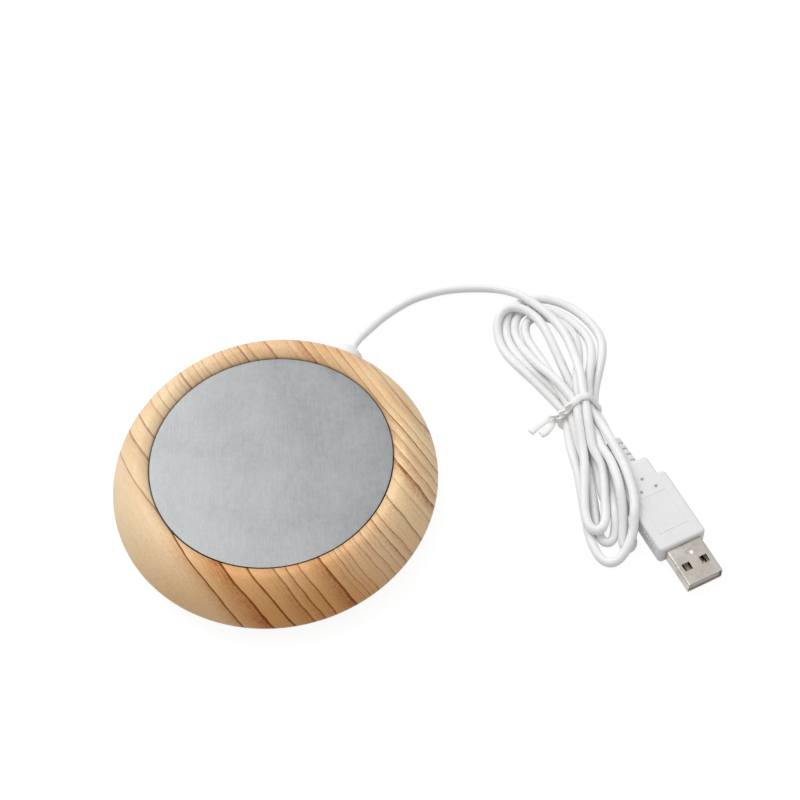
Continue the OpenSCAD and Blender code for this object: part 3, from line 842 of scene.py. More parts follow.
@dataclass
class Lead:
    """The lead: straight out of the boss, over the hank, round its loops and to the plug."""

    plug: PlugPlace
    diameter: float = 3.0
    waist: tuple[float, float] = (77.5, 64.5)
    turn: float = 121.0
    rows: tuple[float, float, float] = (2.3, 5.0, 7.7)
    step: float = 1.5
    rounds: int = 160
    # Settling: how hard each round holds it to its route, and how much that fades
    hold: float = 0.04
    fade: float = 0.8
    # Its tightest bend, the points on each side that show it, and how hard it is straightened,
    # with the last rounds that even it out
    tightest: float = 3.0
    span: int = 3
    unbend: float = 0.35
    middle_share: float = 0.6
    side_share: float = 0.3
    even_out: float = 0.08
    polish: int = 3
    # How hard strands part and stretches shorten, the least run between two points that are
    # kept apart, and the gap to the plug
    push: float = 0.9
    pull: float = 0.7
    apart: float = 8.5
    clearance: float = 0.05
    # Half sizes of the place at the tie where it is held, and how many points at its ends are
    held_along: float = 1.6
    held_across: float = 8.0
    held_ends: int = 4
    # Points of each flank and of each round end of an upper loop
    flank_points: int = 4
    end_points: int = 6
    # Middles and half sizes of the grip, its neck, its relief and the shell, in the plug's frame
    boxes: tuple[tuple[float, ...], ...] = (
        (-12.5, 0.0, 3.8, 12.5, 8.1, 3.8), (-28.5, 0.0, 3.8, 3.5, 5.6, 3.8),
        (-37.3, 0.0, 3.8, 5.3, 3.0, 3.0), (3.5, 0.0, 3.8, 9.5, 6.0, 2.25))
    first: tuple[Point, ...] = (
        (0.0, 55.5, 7.5), (0.0, 57.0, 7.5), (0.2, 60.0, 7.1), (0.5, 63.5, 5.9),
        (1.0, 67.5, 4.3), (1.5, 72.5, 2.7), (3.0, 77.5, 1.7), (5.0, 81.5, 1.5),
        (7.5, 85.5, 1.5), (11.0, 89.0, 1.5), (15.0, 92.5, 1.5), (19.5, 95.5, 1.5),
        (24.0, 97.5, 1.5), (28.5, 99.5, 1.6), (33.0, 100.5, 2.2), (37.0, 100.6, 3.0),
        (41.0, 99.9, 4.0), (44.5, 98.7, 4.6), (46.5, 98.0, 4.6))
    over_loops: tuple[Point, ...] = (
        (51.0, 96.5, 4.8), (55.5, 94.5, 4.8), (59.5, 92.0, 4.8), (63.5, 88.5, 4.8),
        (67.0, 84.5, 4.9), (70.0, 80.5, 5.2), (72.6, 76.0, 5.9), (75.0, 71.3, 6.9))
    last: tuple[Point, ...] = ((84.2, 65.0, 2.8), (85.2, 64.0, 2.8), (87.0, 62.0, 3.1))
    into_plug: tuple[float, float] = (-44.4, -42.0)
    upper: tuple[Loop, ...] = (
        Loop(44.5, 16.0, 5.5, 18.0, -0.35, (1.5, 1.5, 1.5)),
        Loop(44.0, 11.0, 14.0, 1.5, -0.24, (1.5, 4.7, 4.7)),
        Loop(41.0, 10.0, 1.0, 15.0, -0.37, (1.5, 1.5, 1.5)),
        Loop(48.5, 20.0, 12.0, 19.0, -0.24, (1.5, 1.5, 1.5)))
    # Lower loops as points of the hank's frame: along it, across it and up
    lower: tuple[tuple[Point, ...], ...] = (
        ((-4.0, 1.5, 7.6), (-8.0, 1.5, 7.1), (-12.0, 1.6, 6.3), (-16.0, 2.7, 5.4),
         (-21.0, 3.7, 4.8), (-29.0, 3.3, 4.6), (-35.5, 2.3, 4.6), (-40.5, 1.6, 4.6),
         (-44.4, 0.5, 4.6), (-46.6, -1.7, 4.6), (-44.8, -4.1, 4.6), (-41.0, -4.8, 4.6),
         (-36.0, -4.5, 4.6), (-29.5, -3.4, 4.6), (-22.0, -2.0, 4.6), (-16.0, -1.3, 4.5),
         (-12.0, -1.3, 5.4), (-8.0, -1.4, 6.5), (-4.0, -1.5, 7.4)),
        ((-4.0, 4.0, 5.4), (-8.0, 5.4, 6.2), (-12.0, 6.6, 7.5), (-16.5, 7.4, 8.2),
         (-21.0, 8.5, 8.8), (-26.5, 9.8, 9.2), (-32.5, 10.5, 9.2), (-37.5, 10.8, 9.2),
         (-41.5, 10.5, 8.9), (-45.5, 9.7, 7.2), (-49.2, 8.4, 5.5), (-52.6, 6.2, 4.8),
         (-55.4, 3.7, 3.1), (-56.5, 1.0, 1.8), (-55.0, -1.6, 1.5), (-51.4, -3.2, 1.5),
         (-47.0, -4.1, 1.5), (-42.4, -4.3, 1.5), (-38.0, -4.3, 1.5), (-33.0, -4.3, 1.5),
         (-26.0, -4.1, 1.5), (-20.0, -4.1, 1.5), (-14.0, -4.5, 1.5), (-9.0, -4.8, 1.6),
         (-4.0, -4.7, 2.1)),
        ((-4.0, 1.9, 2.1), (-8.0, 2.7, 1.6), (-12.0, 3.6, 1.5), (-16.0, 4.8, 1.6),
         (-21.0, 5.2, 2.0), (-28.0, 5.1, 2.6), (-33.0, 4.9, 3.0), (-36.0, 5.0, 4.0),
         (-39.0, 4.7, 4.5), (-42.0, 4.5, 4.0), (-45.2, 4.2, 2.4), (-48.0, 3.2, 1.5),
         (-49.3, 1.2, 1.5), (-48.0, -0.9, 1.5), (-44.5, -1.5, 1.5), (-38.0, -1.2, 1.5),
         (-32.0, -1.0, 1.5), (-26.0, -0.9, 1.5), (-20.0, -1.0, 1.5), (-16.0, -1.3, 1.5),
         (-12.0, -2.2, 2.0), (-8.0, -3.0, 3.6), (-4.0, -3.2, 4.7)),
        ((-4.0, 0.9, 5.0), (-8.0, 2.6, 5.0), (-12.0, 4.3, 5.0), (-16.0, 5.5, 5.4),
         (-21.0, 6.1, 6.6), (-25.0, 6.4, 8.3), (-28.5, 6.7, 8.8), (-33.0, 7.0, 9.0),
         (-38.0, 7.0, 8.0), (-42.5, 6.7, 5.8), (-46.5, 5.7, 3.2), (-49.6, 4.9, 1.7),
         (-51.8, 5.6, 1.5), (-52.0, 7.5, 1.5), (-50.1, 8.9, 1.5), (-47.0, 8.7, 1.5),
         (-44.0, 7.6, 1.5), (-41.0, 6.0, 1.5), (-38.0, 3.9, 1.5), (-34.5, 2.5, 1.5),
         (-30.0, 2.1, 1.5), (-25.0, 2.1, 1.5), (-20.5, 2.2, 1.5), (-16.0, 1.8, 1.5),
         (-12.0, 0.7, 1.5), (-8.0, -0.6, 1.6), (-4.0, -1.6, 2.0)))
    # Place of each strand at the waist: across it, and its row from below
    strands: tuple[tuple[float, int], ...] = (
        (1.55, 2), (-1.55, 2), (3.1, 1), (-4.65, 0), (1.55, 0), (-3.1, 1), (0.0, 1), (-1.55, 0),
        (4.65, 0))

    def world(self, along: float, across: float, up: float) -> Point:
        """Point of the hank's frame in the part's frame."""
        a = math.radians(self.turn)
        return (self.waist[0] + along * math.cos(a) + across * math.sin(a),
                self.waist[1] + along * math.sin(a) - across * math.cos(a), up)

    def slot(self, number: int) -> tuple[float, float]:
        """Place across the waist and height of one strand."""
        across, row = self.strands[number]
        return across, self.rows[row]

    def loop_points(self, loop: Loop, start: int, end: int) -> list[Point]:
        """Points of an upper loop between two strands at the waist.

        Args:
            loop: The loop.
            start: Strand that it leaves from.
            end: Strand that it comes back to.

        Returns:
            Its points, without those at the waist.
        """
        base = loop.reach - loop.cap
        ends = (-loop.left, loop.right)
        low, top, high = loop.heights
        points = []

        def flank(share: float, place: tuple[float, float], edge: float, height: float) -> None:
            """Adds one point of a flank, between the waist and the round end.

            Args:
                share: How far out of the waist the point lies, from 0 to 1.
                place: The strand's place across the waist and its height.
                edge: Place across where the round end begins.
                height: Height there.
            """
            blend = 0.5 * share * share * (3 - 2 * share) + 0.5 * share
            late = min(max((share - 0.3) / 0.7, 0.0), 1.0)
            late = late * late * (3 - 2 * late)
            along = share * base
            points.append(self.world(along,
                                     place[0] * (1 - blend) + edge * blend + loop.lean * along,
                                     place[1] * (1 - late) + height * late))

        for k in range(1, self.flank_points + 1):
            flank(k / self.flank_points, self.slot(start), ends[0], low)
        centre, half = (ends[0] + ends[1]) / 2, (ends[0] - ends[1]) / 2
        for k in range(1, self.end_points + 1):
            angle = math.pi * k / (self.end_points + 1)
            along = base + loop.cap * math.sin(angle)
            side = low * (1 + math.cos(angle)) / 2 + high * (1 - math.cos(angle)) / 2
            up = side * (1 - math.sin(angle)) + top * math.sin(angle)
            points.append(self.world(along,
                                     centre + half * math.cos(angle) + loop.lean * along, up))
        for k in range(self.flank_points, 0, -1):
            flank(k / self.flank_points, self.slot(end), ends[1], high)
        return points

    def route(self) -> np.ndarray:
        """Points of the whole lead, in millimetres, from the boss to the plug.

        Returns:
            The points, one a row.
        """
        points = [*self.first, *self.over_loops]
        for number in range(len(self.strands)):
            points.append(self.world(0.0, *self.slot(number)))
            pair, goes_up = divmod(number, 2)
            if goes_up:
                points += self.loop_points(self.upper[pair], number, number + 1)
            elif pair < len(self.lower):
                points += [self.world(*place) for place in self.lower[pair]]
        points += [*self.last, *(self.plug.point(x, 0.0, self.plug.centre_z)
                                 for x in self.into_plug)]
        return np.array(points, float)

    @staticmethod
    def curve_through(points: np.ndarray, parts: int = 8) -> np.ndarray:
        """Smooth line through points, with the given parts between each two.

        Args:
            points: The points, one a row.
            parts: How many parts each stretch gets.

        Returns:
            The points of the line, one a row.
        """
        p = np.vstack([2 * points[0] - points[1], points, 2 * points[-1] - points[-2]])
        t = (np.arange(parts) / parts)[None, :, None]
        a, b, c, d = p[:-3, None], p[1:-2, None], p[2:-1, None], p[3:, None]
        line = 0.5 * (2 * b + (c - a) * t + (2 * a - 5 * b + 4 * c - d) * t ** 2
                      + (3 * b - a - 3 * c + d) * t ** 3)
        return np.vstack([line.reshape(-1, 3), points[-1:]])

    @staticmethod
    def even(points: np.ndarray, step: float) -> np.ndarray:
        """The same line with points an even step apart.

        Args:
            points: The line, one point a row.
            step: The step, in millimetres.

        Returns:
            The new points, one a row.
        """
        run = np.r_[0.0, np.cumsum(np.linalg.norm(np.diff(points, axis=0), axis=1))]
        at = np.linspace(0.0, run[-1], int(round(run[-1] / step)) + 1)
        return np.stack([np.interp(at, run, points[:, i]) for i in range(3)], 1)

    def clear_of_plug(self, points: np.ndarray) -> np.ndarray:
        """Moves that lift or push points off the plug.

        Args:
            points: The line, one point a row.

        Returns:
            A move for each point, in the part's frame.
        """
        reach = self.diameter / 2 + self.clearance
        place = self.plug.inside(points)
        moves = np.zeros_like(place)
        for cx, cy, cz, hx, hy, hz in self.boxes:
            off = place - np.array([cx, cy, cz])
            gap = np.abs(off) - np.array([hx, hy, hz])
            sign = np.where(off < 0, -1.0, 1.0)
            out = np.maximum(gap, 0.0)
            far = np.linalg.norm(out, axis=1)
            deep = (gap < 0).all(1)
            near = ~deep & (far < reach)
            moves[near] = (out[near] * sign[near] / far[near, None]) * (reach - far[near])[:, None]
            for i in np.where(deep)[0]:
                axis = 2 if off[i, 2] > 0 else int(np.argmax(gap[i]))
                moves[i, axis] = sign[i, axis] * (reach - gap[i, axis])
        return self.plug.outside(moves)

    def settle(self, line: np.ndarray) -> np.ndarray:
        """Lets the lead come to rest on the table, on itself and on the plug.

        It keeps its length and its thickness, resists tight bends, and is held at the
        tie and at both ends.

        Args:
            line: Where it starts from.

        Returns:
            Where it comes to rest.
        """
        p = self.even(line, self.step)
        rest, count = p.copy(), len(p)
        length = np.linalg.norm(np.diff(p, axis=0), axis=1).mean()
        a = math.radians(self.turn)
        off = p[:, :2] - np.array(self.waist)
        held = ((np.abs(off @ np.array([math.cos(a), math.sin(a)])) < self.held_along)
                & (np.abs(off @ np.array([math.sin(a), -math.cos(a)])) < self.held_across))
        free = np.ones(count)
        free[held] = free[:self.held_ends] = free[-self.held_ends:] = 0.0
        one, two = np.triu_indices(count, int(self.apart / self.step))
        span = self.span
        sag_most = (span * length) ** 2 / (2 * self.tightest)
        for number in range(self.rounds):
            p += (rest - p) * (self.hold * free[:, None] * (1 - self.fade * number / self.rounds))
            sag = 0.5 * (p[:-2 * span] + p[2 * span:]) - p[span:-span]
            size = np.linalg.norm(sag, axis=1)
            move = sag * (np.clip((size - sag_most) / np.maximum(size, 1e-9), 0, 1)
                          * self.unbend * free[span:-span])[:, None]
            p[span:-span] += move * self.middle_share
            p[:-2 * span] -= move * self.side_share * free[:-2 * span, None]
            p[2 * span:] -= move * self.side_share * free[2 * span:, None]
            p[1:-1] += (0.5 * (p[:-2] + p[2:]) - p[1:-1]) * (self.even_out * free[1:-1, None])
            for _ in range(2):
                gap = p[two] - p[one]
                square = (gap ** 2).sum(1)
                hit = square < self.diameter ** 2
                i, j, far = one[hit], two[hit], np.sqrt(square[hit]) + 1e-9
                push = gap[hit] * ((self.diameter - far) / far)[:, None]
                both = (free[i] + free[j] + 1e-9)[:, None]
                total, times = np.zeros_like(p), np.zeros(count)
                np.add.at(total, i, -push * free[i, None] / both)
                np.add.at(total, j, push * free[j, None] / both)
                np.add.at(times, i, 1)
                np.add.at(times, j, 1)
                p += total / np.maximum(times, 1)[:, None] * self.push
                p += self.clear_of_plug(p) * free[:, None]
                p[:, 2] = np.maximum(p[:, 2], self.diameter / 2)
            for _ in range(3):
                edge = p[1:] - p[:-1]
                size = np.linalg.norm(edge, axis=1)
                both = free[:-1] + free[1:] + 1e-9
                move = edge * ((size - length) / size / both * self.pull * self.pull)[:, None]
                p[:-1] += move * free[:-1, None]
                p[1:] -= move * free[1:, None]
        for _ in range(self.polish):
            p[1:-1] += (0.5 * (p[:-2] + p[2:]) - p[1:-1]) * (0.5 * free[1:-1, None])
        return p

    def build(self, jacket: bpy.types.Material, goes_with: Sequence[object]) -> None:
        """Args:
            jacket: Its material.
            goes_with: The separate pieces on it; not used.
        """
        line = self.curve_through(self.route())
        line[:, 2] = np.maximum(line[:, 2], self.diameter / 2)
        line = self.even(self.curve_through(self.settle(line), 4), self.step / 2)
        piece = polyline("lead", line)
        piece.data.bevel_depth = self.diameter / 2 * MM
        piece.data.bevel_resolution = 4
        piece.data.use_fill_caps = True
        show(piece, jacket, "cord_jacket", "cord_lead", "cord_hank", "cord_tail")


# ---------------------------------------------------------------- the warmer


@dataclass
class Warmer:
    """Turned ring, heating plate with its element, base and the lead's boss."""

    bore: float = 38.3
    crest: float = 41.5
    outer: float = 51.5
    sole: float = 44.0
    rebate: float = 40.7
    cavity: float = 35.0
    sole_z: float = 1.0
    belly_z: float = 7.4
    crest_z: float = 21.3
    plate_top_z: float = 19.5
    plate_z: float = 18.0
    ledge_z: float = 17.5
    cover_top_z: float = 3.6
    power: float = 1.57
    plate: float = 38.0
    plate_edge: float = 0.3
    plate_soft: float = 0.14
    plate_border: float = 2.0
    entry_z: float = 7.5
    boss: float = 5.2
    boss_start: float = 52.4
    boss_end: float = 55.5
    boss_steps: int = 10
    nose: float = 1.95
    neck: float = 2.8
    neck_length: float = 11.4
    segments: int = 192
    # Bore and flange of the boss: the radius of each rim and how far it lies from the last one
    core: tuple[tuple[float, float], ...] = ((1.52, 0.0), (1.52, -18.5), (3.6, 0.0), (3.6, 1.6))

    def upper(self, angle: float) -> tuple[float, float]:
        """Radius and height of the upper flank, at an angle from the crest outwards."""
        s, c = math.sin(math.radians(angle)), math.cos(math.radians(angle))
        return (self.crest + (self.outer - self.crest) * abs(s) ** (2 / self.power),
                self.belly_z + (self.crest_z - self.belly_z) * abs(c) ** (2 / self.power))

    def lower(self, angle: float) -> tuple[float, float]:
        """Radius and height of the lower flank, at an angle below the widest point."""
        s, c = math.sin(math.radians(angle)), math.cos(math.radians(angle))
        return (self.sole + (self.outer - self.sole) * c,
                self.belly_z - (self.belly_z - self.sole_z) * s)

    def lip_point(self, angle: float) -> tuple[float, float]:
        """Radius and height of the lip round the plate, at an angle up to its crest."""
        s, c = math.sin(math.radians(angle)), math.cos(math.radians(angle))
        return (self.bore + 0.06 + (self.crest - self.bore - 0.1) * (1 - c ** 1.25),
                self.plate_top_z + (self.crest_z - self.plate_top_z) * s ** 1.25 - 0.02)

    def flank_radius(self, height: float) -> float:
        """Radius of the ring's outer face at a height.

        Args:
            height: The height, in millimetres.

        Returns:
            The radius there.
        """
        if height >= self.belly_z:
            share = (height - self.belly_z) / (self.crest_z - self.belly_z)
            sine = (1 - share ** self.power) ** (1 / 2)
            return self.crest + (self.outer - self.crest) * sine ** (2 / self.power)
        share = (self.belly_z - height) / (self.belly_z - self.sole_z)
        return self.sole + (self.outer - self.sole) * math.sqrt(max(0.0, 1 - share * share))

    def ring(self) -> Piece:
        """Spins the ring from its section and bores the hole for the lead.

        Returns:
            The finished piece.
        """
        edge = (self.bore, self.plate_top_z - self.plate_edge)
        section = [edge, (self.bore + 0.06, self.plate_top_z)]
        section += [self.lip_point(a) for a in range(12, 91, 6)]
        section += [self.upper(a) for a in (7, 10, 14, 19, *range(24, 91, 3))]
        section += [self.lower(a) for a in range(5, 91, 5)]
        section += [(self.rebate, self.sole_z), (self.rebate, self.cover_top_z),
                    (self.cavity, self.cover_top_z), (self.cavity, self.ledge_z),
                    (self.bore, self.ledge_z), edge]
        piece = turned("turned_ring", [(r, 0.0, z) for r, z in section], (0, 0, 1), self.segments)
        cut_away(piece, rod("drill", self.neck + 0.1, 30, (0, 48, self.entry_z),
                            rotation=(math.pi / 2, 0, 0)))
        smooth(piece, 30)
        return piece

    def plate_disc(self) -> Piece:
        """Makes the plate: a disc with a softened edge round its face.

        Returns:
            The finished piece.
        """
        piece = rod("steel_plate", self.plate, self.plate_top_z - self.plate_z,
                    (0, 0, (self.plate_top_z + self.plate_z) / 2), self.segments)
        put(piece, piece.matrix_world.copy())
        with editing(piece):
            pick(piece, Kind.EDGE, lambda e: middle(e).z > self.plate_top_z - 0.01)
            bpy.ops.mesh.bevel(offset=self.plate_soft * MM, segments=3, profile=0.5, affect="EDGES")
            pick(piece, Kind.FACE, lambda f: f.normal.z > 0.99 and len(f.verts) > 8)
            bpy.ops.mesh.inset(thickness=self.plate_border * MM)
        smooth(piece, 35, weighted=True)
        return piece

    def boss_piece(self) -> Piece:
        """Makes the flared boss that hugs the ring, its neck through the wall and its flange.

        Returns:
            The finished piece.
        """
        piece = start(bpy.ops.mesh.primitive_circle_add, "lead_boss", vertices=48,
                      radius=self.boss * MM, location=(0, 0, 0), rotation=(math.pi / 2, 0, 0))
        put(piece, piece.matrix_world.copy())
        rise = (self.boss_end - self.boss_start) / self.boss_steps
        rims = [(self.nose + (self.boss - self.nose)
                 * (1 + math.cos(math.pi * (k / self.boss_steps))) / 2, rise)
                for k in range(1, self.boss_steps + 1)]
        rims += [*self.core, (self.neck, 0.0), (self.neck, self.neck_length)]
        radius = self.boss
        with editing(piece, Kind.EDGE):
            pick_all()
            for wanted, move in rims:
                bpy.ops.mesh.extrude_edges_move()
                bpy.ops.transform.resize(value=(wanted / radius, 1, wanted / radius))
                bpy.ops.transform.translate(value=(0, move * MM, 0))
                radius = wanted
        for vert in piece.data.vertices:
            vert.co.y += self.boss_start * MM
            vert.co.z += self.entry_z * MM
        self.hug(piece)
        close_up(piece)
        smooth(piece, 35)
        return piece

    def hug(self, piece: Piece) -> None:
        """Adds the boss's foot, which follows the ring, and closes it onto the neck.

        Args:
            piece: The boss, open at its foot and at its neck.
        """
        shape = bmesh.new()
        shape.from_mesh(piece.data)
        rims: dict[bool, list] = {True: [], False: []}
        for edge in [e for e in shape.edges if e.is_boundary]:
            wide = max(math.hypot(v.co.x, v.co.z - self.entry_z * MM) for v in edge.verts) / MM
            rims[wide > 4].append(edge)
        made = bmesh.ops.extrude_edge_only(shape, edges=rims[True])["geom"]
        foot = [e for e in made if isinstance(e, bmesh.types.BMEdge) and e.is_boundary]
        for vert in {v for e in (*foot, *rims[False]) for v in e.verts}:
            x, z = vert.co.x / MM, vert.co.z / MM
            vert.co.y = (math.sqrt(self.flank_radius(z) ** 2 - x * x) + 0.1) * MM
        bmesh.ops.bridge_loops(shape, edges=foot + rims[False])
        shape.to_mesh(piece.data)
        shape.free()

    def build(self, finishes: dict[str, bpy.types.Material]) -> None:
        """Builds the warmer's pieces and dresses the parts inside it.

        Args:
            finishes: Every finish by its name.
        """
        show(self.ring(), finishes["pine"], "wood", "wood_ring")
        show(self.plate_disc(), finishes["plate"], "plate_steel", "heating_plate")
        show(self.boss_piece(), finishes["boss"], "boss_plastic", "strain_relief")
        # The seal's dark finish shows in the thin gap round the plate and also stands in for the
        # shade there: partly painted shade
        inside = {"seal": "plate_seal", "film": "heater_cover_film heater_base_film",
                  "foil": "heater_track", "felt": "insulation_pad", "case": "thermal_cutout",
                  "red wire": "live_wire", "black wire": "return_wire", "pale wire": "link_wire",
                  "sleeve": "wire_sleeves", "jacket": "cord_inner", "nylon": "cord_clamp",
                  "screws": "clamp_screws base_screws", "base": "base_cover",
                  "rubber": "rubber_feet"}
        for finish, names in inside.items():
            for name in names.split():
                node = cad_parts[name]
                if not node.material_slots:
                    node.data.materials.append(finishes[finish])
                for slot in node.material_slots:
                    slot.material = finishes[finish]
                LOG.info("%s: %s", name, finishes[finish].name)


# ---------------------------------------------------------------- the plug


@dataclass
class Plug:
    """Moulded grip with its bend relief, and the steel shell with its tongue and contacts."""

    place: PlugPlace
    width: float = 16.2
    height: float = 7.6
    length: float = 25.0
    neck_width: float = 11.2
    neck_length: float = 7.0
    relief_length: float = 10.6
    relief_radius: float = 3.1
    tip_radius: float = 2.7
    cord_radius: float = 1.6
    shell_width: float = 12.0
    shell_height: float = 4.5
    shell_length: float = 13.0
    shell_root: float = 5.5
    wall: float = 0.3
    fold: float = 0.55
    window: float = 2.6
    window_x: float = 7.3
    window_y: float = 3.0
    # Ball that presses the dimple: its radius, its place along and its height over the face
    ball: Point = (3.0, 3.2, 2.76)
    # Rounding of the grip's upright corners and of its edges, and its wall round the shell
    corner: float = 1.4
    edge: float = 1.1
    rim: float = 1.45
    # Side ribs: how many, their pitch, width and height, and the first one's place
    rib_count: int = 9
    rib_pitch: float = 1.3
    rib_width: float = 0.55
    rib_raise: float = 0.22
    rib_x: float = -4.0
    # Outlined panel on the upper face: its ends, half its width, and the line round it
    panel_back: float = -19.0
    panel_front: float = -5.5
    panel_half: float = 4.85
    panel_corner: float = 0.9
    panel_line: float = 0.32
    panel_raise: float = 0.09
    pits: tuple[tuple[float, float], ...] = ((-20.8, 2.6), (-20.8, -2.6), (-24.8, 0.0))
    # Drill of the pits: its radius, its length and its middle's height over the face
    pit: Point = (0.55, 2.4, 0.2)
    # Cuts of the relief: how many, the first one's place, their pitch and half their width
    slit_count: int = 4
    slit_start: float = 0.95
    slit_pitch: float = 2.4
    slit_half: float = 0.35
    # Tongue and contacts
    tongue_thick: float = 1.9
    contact_y: tuple[float, ...] = (-3.5, -1.0, 1.0, 3.5)
    contact_back: float = 3.8
    contact_front: float = 11.8
    contact_half: float = 0.5
    contact_thick: float = 0.2
    slack: float = 0.05

    @property
    def floor(self) -> float:
        """Height of the shell's inner floor."""
        return self.place.centre_z - self.shell_height / 2 + self.wall

    def block(self, name: str, low: Point, high: Point) -> Piece:
        """Starts a piece from a block between two corners of the plug's own frame.

        Args:
            name: Name of the piece.
            low: Its lower corner.
            high: Its upper corner.

        Returns:
            The block.
        """
        size = [(b - a) * MM for a, b in zip(low, high)]
        centre = [(a + b) / 2 * MM for a, b in zip(low, high)]
        piece = start(bpy.ops.mesh.primitive_cube_add, name, size=1.0, location=centre, scale=size)
        put(piece, piece.matrix_world.copy())
        return piece

    def complete(self, piece: Piece, soft: float, degrees: float, weighted: bool = False,
                 limit: float = 50.0) -> Piece:
        """Softens a piece's edges, shades it and puts it where the plug lies.

        Args:
            piece: The piece, in the plug's own frame.
            soft: Width of the softened edges.
            degrees: Edges sharper than this angle stay sharp in the shading.
            weighted: Whether large faces pull the normals flat.
            limit: Edges sharper than this angle are softened.

        Returns:
            The same piece.
        """
        finish_with(piece, "BEVEL", width=soft * MM, segments=2, limit_method="ANGLE",
                    angle_limit=math.radians(limit))
        smooth(piece, degrees, weighted)
        put(piece, self.place.matrix())
        return piece

    def cross_cuts(self, axis: int, *places: float) -> None:
        """Cuts new edges right round the piece in edit mode, square to an axis.

        Args:
            axis: Number of the axis.
            *places: Where the cuts lie along it, in millimetres.
        """
        for at in places:
            point, normal = [0.0, 0.0, 0.0], [0.0, 0.0, 0.0]
            point[axis], normal[axis] = at * MM, 1.0
            pick_all()
            bpy.ops.mesh.bisect(plane_co=point, plane_no=normal, threshold=1e-7)

    def merge_flat(self, piece: Piece, test: Callable[[object], bool]) -> None:
        """Merges the faces that pass a test where they lie in one plane, in edit mode."""
        pick(piece, Kind.FACE, test)
        bpy.ops.mesh.dissolve_limited(angle_limit=0.01)

    def grip(self) -> Piece:
        """Moulds the grip: shoulders, round edges, side ribs, an outlined panel and pits.

        Returns:
            The finished piece.
        """
        top, half, back = self.height, self.width / 2, -self.length
        piece = self.block("plug_grip", (back, -half, 0), (0, half, top))
        with editing(piece):
            self.cross_cuts(1, -self.neck_width / 2, self.neck_width / 2)
            pick(piece, Kind.FACE, lambda f: f.normal.x < -0.9 and abs(middle(f).y) < 2)
            push(-self.neck_length, 0, 0)
            pick(piece, Kind.EDGE, lambda e: abs((e.verts[0].co - e.verts[1].co).z) > 5 * MM
                 and not (abs(middle(e).x - back) < 0.1 and abs(middle(e).y) < half - 1)
                 and abs(middle(e).y) > 1 and (abs(abs(middle(e).y) - half) < 0.1
                                              or middle(e).x < back - 1))
            bpy.ops.mesh.bevel(offset=self.corner * MM, segments=6, affect="EDGES")
            self.merge_flat(piece, lambda f: abs(f.normal.z) > 0.99)
            pick(piece, Kind.EDGE, lambda e: len(e.link_faces) == 2
                 and abs(e.verts[0].co.z - e.verts[1].co.z) < 1e-7
                 and max(abs(f.normal.z) for f in e.link_faces) > 0.99
                 and min(abs(f.normal.z) for f in e.link_faces) < 0.1)
            bpy.ops.mesh.bevel(offset=self.edge * MM, segments=5, affect="EDGES",
                               clamp_overlap=True)
            self.ribs(piece)
            self.panel(piece)
            self.socket(piece)
        radius, long, over = self.pit
        pits = [rod("pit", radius, long, (x, y, top + over), 24) for x, y in self.pits]
        cut_away(piece, join(pits, "pits"))
        return self.complete(piece, 0.1, 40, weighted=True)

    def ribs(self, piece: Piece) -> None:
        """Raises upright ribs on each side of the grip, in edit mode.

        Args:
            piece: The piece in edit mode.
        """
        starts = [self.rib_x - self.rib_pitch * i for i in range(self.rib_count)]
        zone = [(x, x + self.rib_width) for x in starts]
        self.cross_cuts(0, *(x for pair in zone for x in pair))
        self.cross_cuts(2, self.height / 2 - 1.8, self.height / 2 + 1.8)
        for sign in (-1, 1):
            pick(piece, Kind.FACE, lambda f: f.normal.y * sign > 0.99
                 and abs(middle(f).z - self.height / 2) < 1.0
                 and any(a < middle(f).x < b for a, b in zone))
            push(0, sign * self.rib_raise, 0)

    def panel(self, piece: Piece) -> None:
        """Raises a fine outline with round corners on the grip's upper face, in edit mode.

        Args:
            piece: The piece in edit mode.
        """
        back, front, half = self.panel_back, self.panel_front, self.panel_half
        self.merge_flat(piece, lambda f: f.normal.z > 0.99)
        self.cross_cuts(0, back, front)
        self.cross_cuts(1, -half, half)
        self.merge_flat(piece, lambda f: f.normal.z > 0.99 and back < middle(f).x < front
                        and abs(middle(f).y) < half)
        pick(piece, Kind.VERT, lambda v: v.co.z > (self.height - 0.01) * MM
             and min(abs(v.co.x / MM - back), abs(v.co.x / MM - front)) < 0.01
             and abs(abs(v.co.y / MM) - half) < 0.01)
        bpy.ops.mesh.bevel(offset=self.panel_corner * MM, segments=4, affect="VERTICES")
        pick(piece, Kind.FACE, lambda f: f.normal.z > 0.99 and abs(middle(f).y) < 1
             and -14 < middle(f).x < -10)
        bpy.ops.mesh.inset(thickness=self.panel_line * MM)
        pick(piece, Kind.FACE, lambda f: f.normal.z > 0.99 and f.calc_area() < 12e-6
             and abs(middle(f).y) < 5 and back - 0.1 < middle(f).x < front + 0.1)
        push(0, 0, self.panel_raise)

    def socket(self, piece: Piece) -> None:
        """Sinks the shell's socket into the front face, in edit mode.

        Args:
            piece: The piece in edit mode.
        """
        self.merge_flat(piece, lambda f: f.normal.x > 0.99)
        pick(piece, Kind.FACE, lambda f: f.normal.x > 0.99 and f.calc_area() > 20e-6)
        bpy.ops.mesh.inset(thickness=self.rim * MM)
        mid = self.height / 2 * MM
        inner = [v.co for v in bmesh.from_edit_mesh(piece.data).verts if v.select]
        wide = max(c.y for c in inner) * 2
        high = (max(c.z for c in inner) - mid) * 2
        bpy.ops.transform.resize(value=(1, (self.shell_width + 0.1) * MM / wide,
                                        (self.shell_height + 0.1) * MM / high),
                                 center_override=(0, 0, mid))
        push(-self.shell_root, 0, 0)

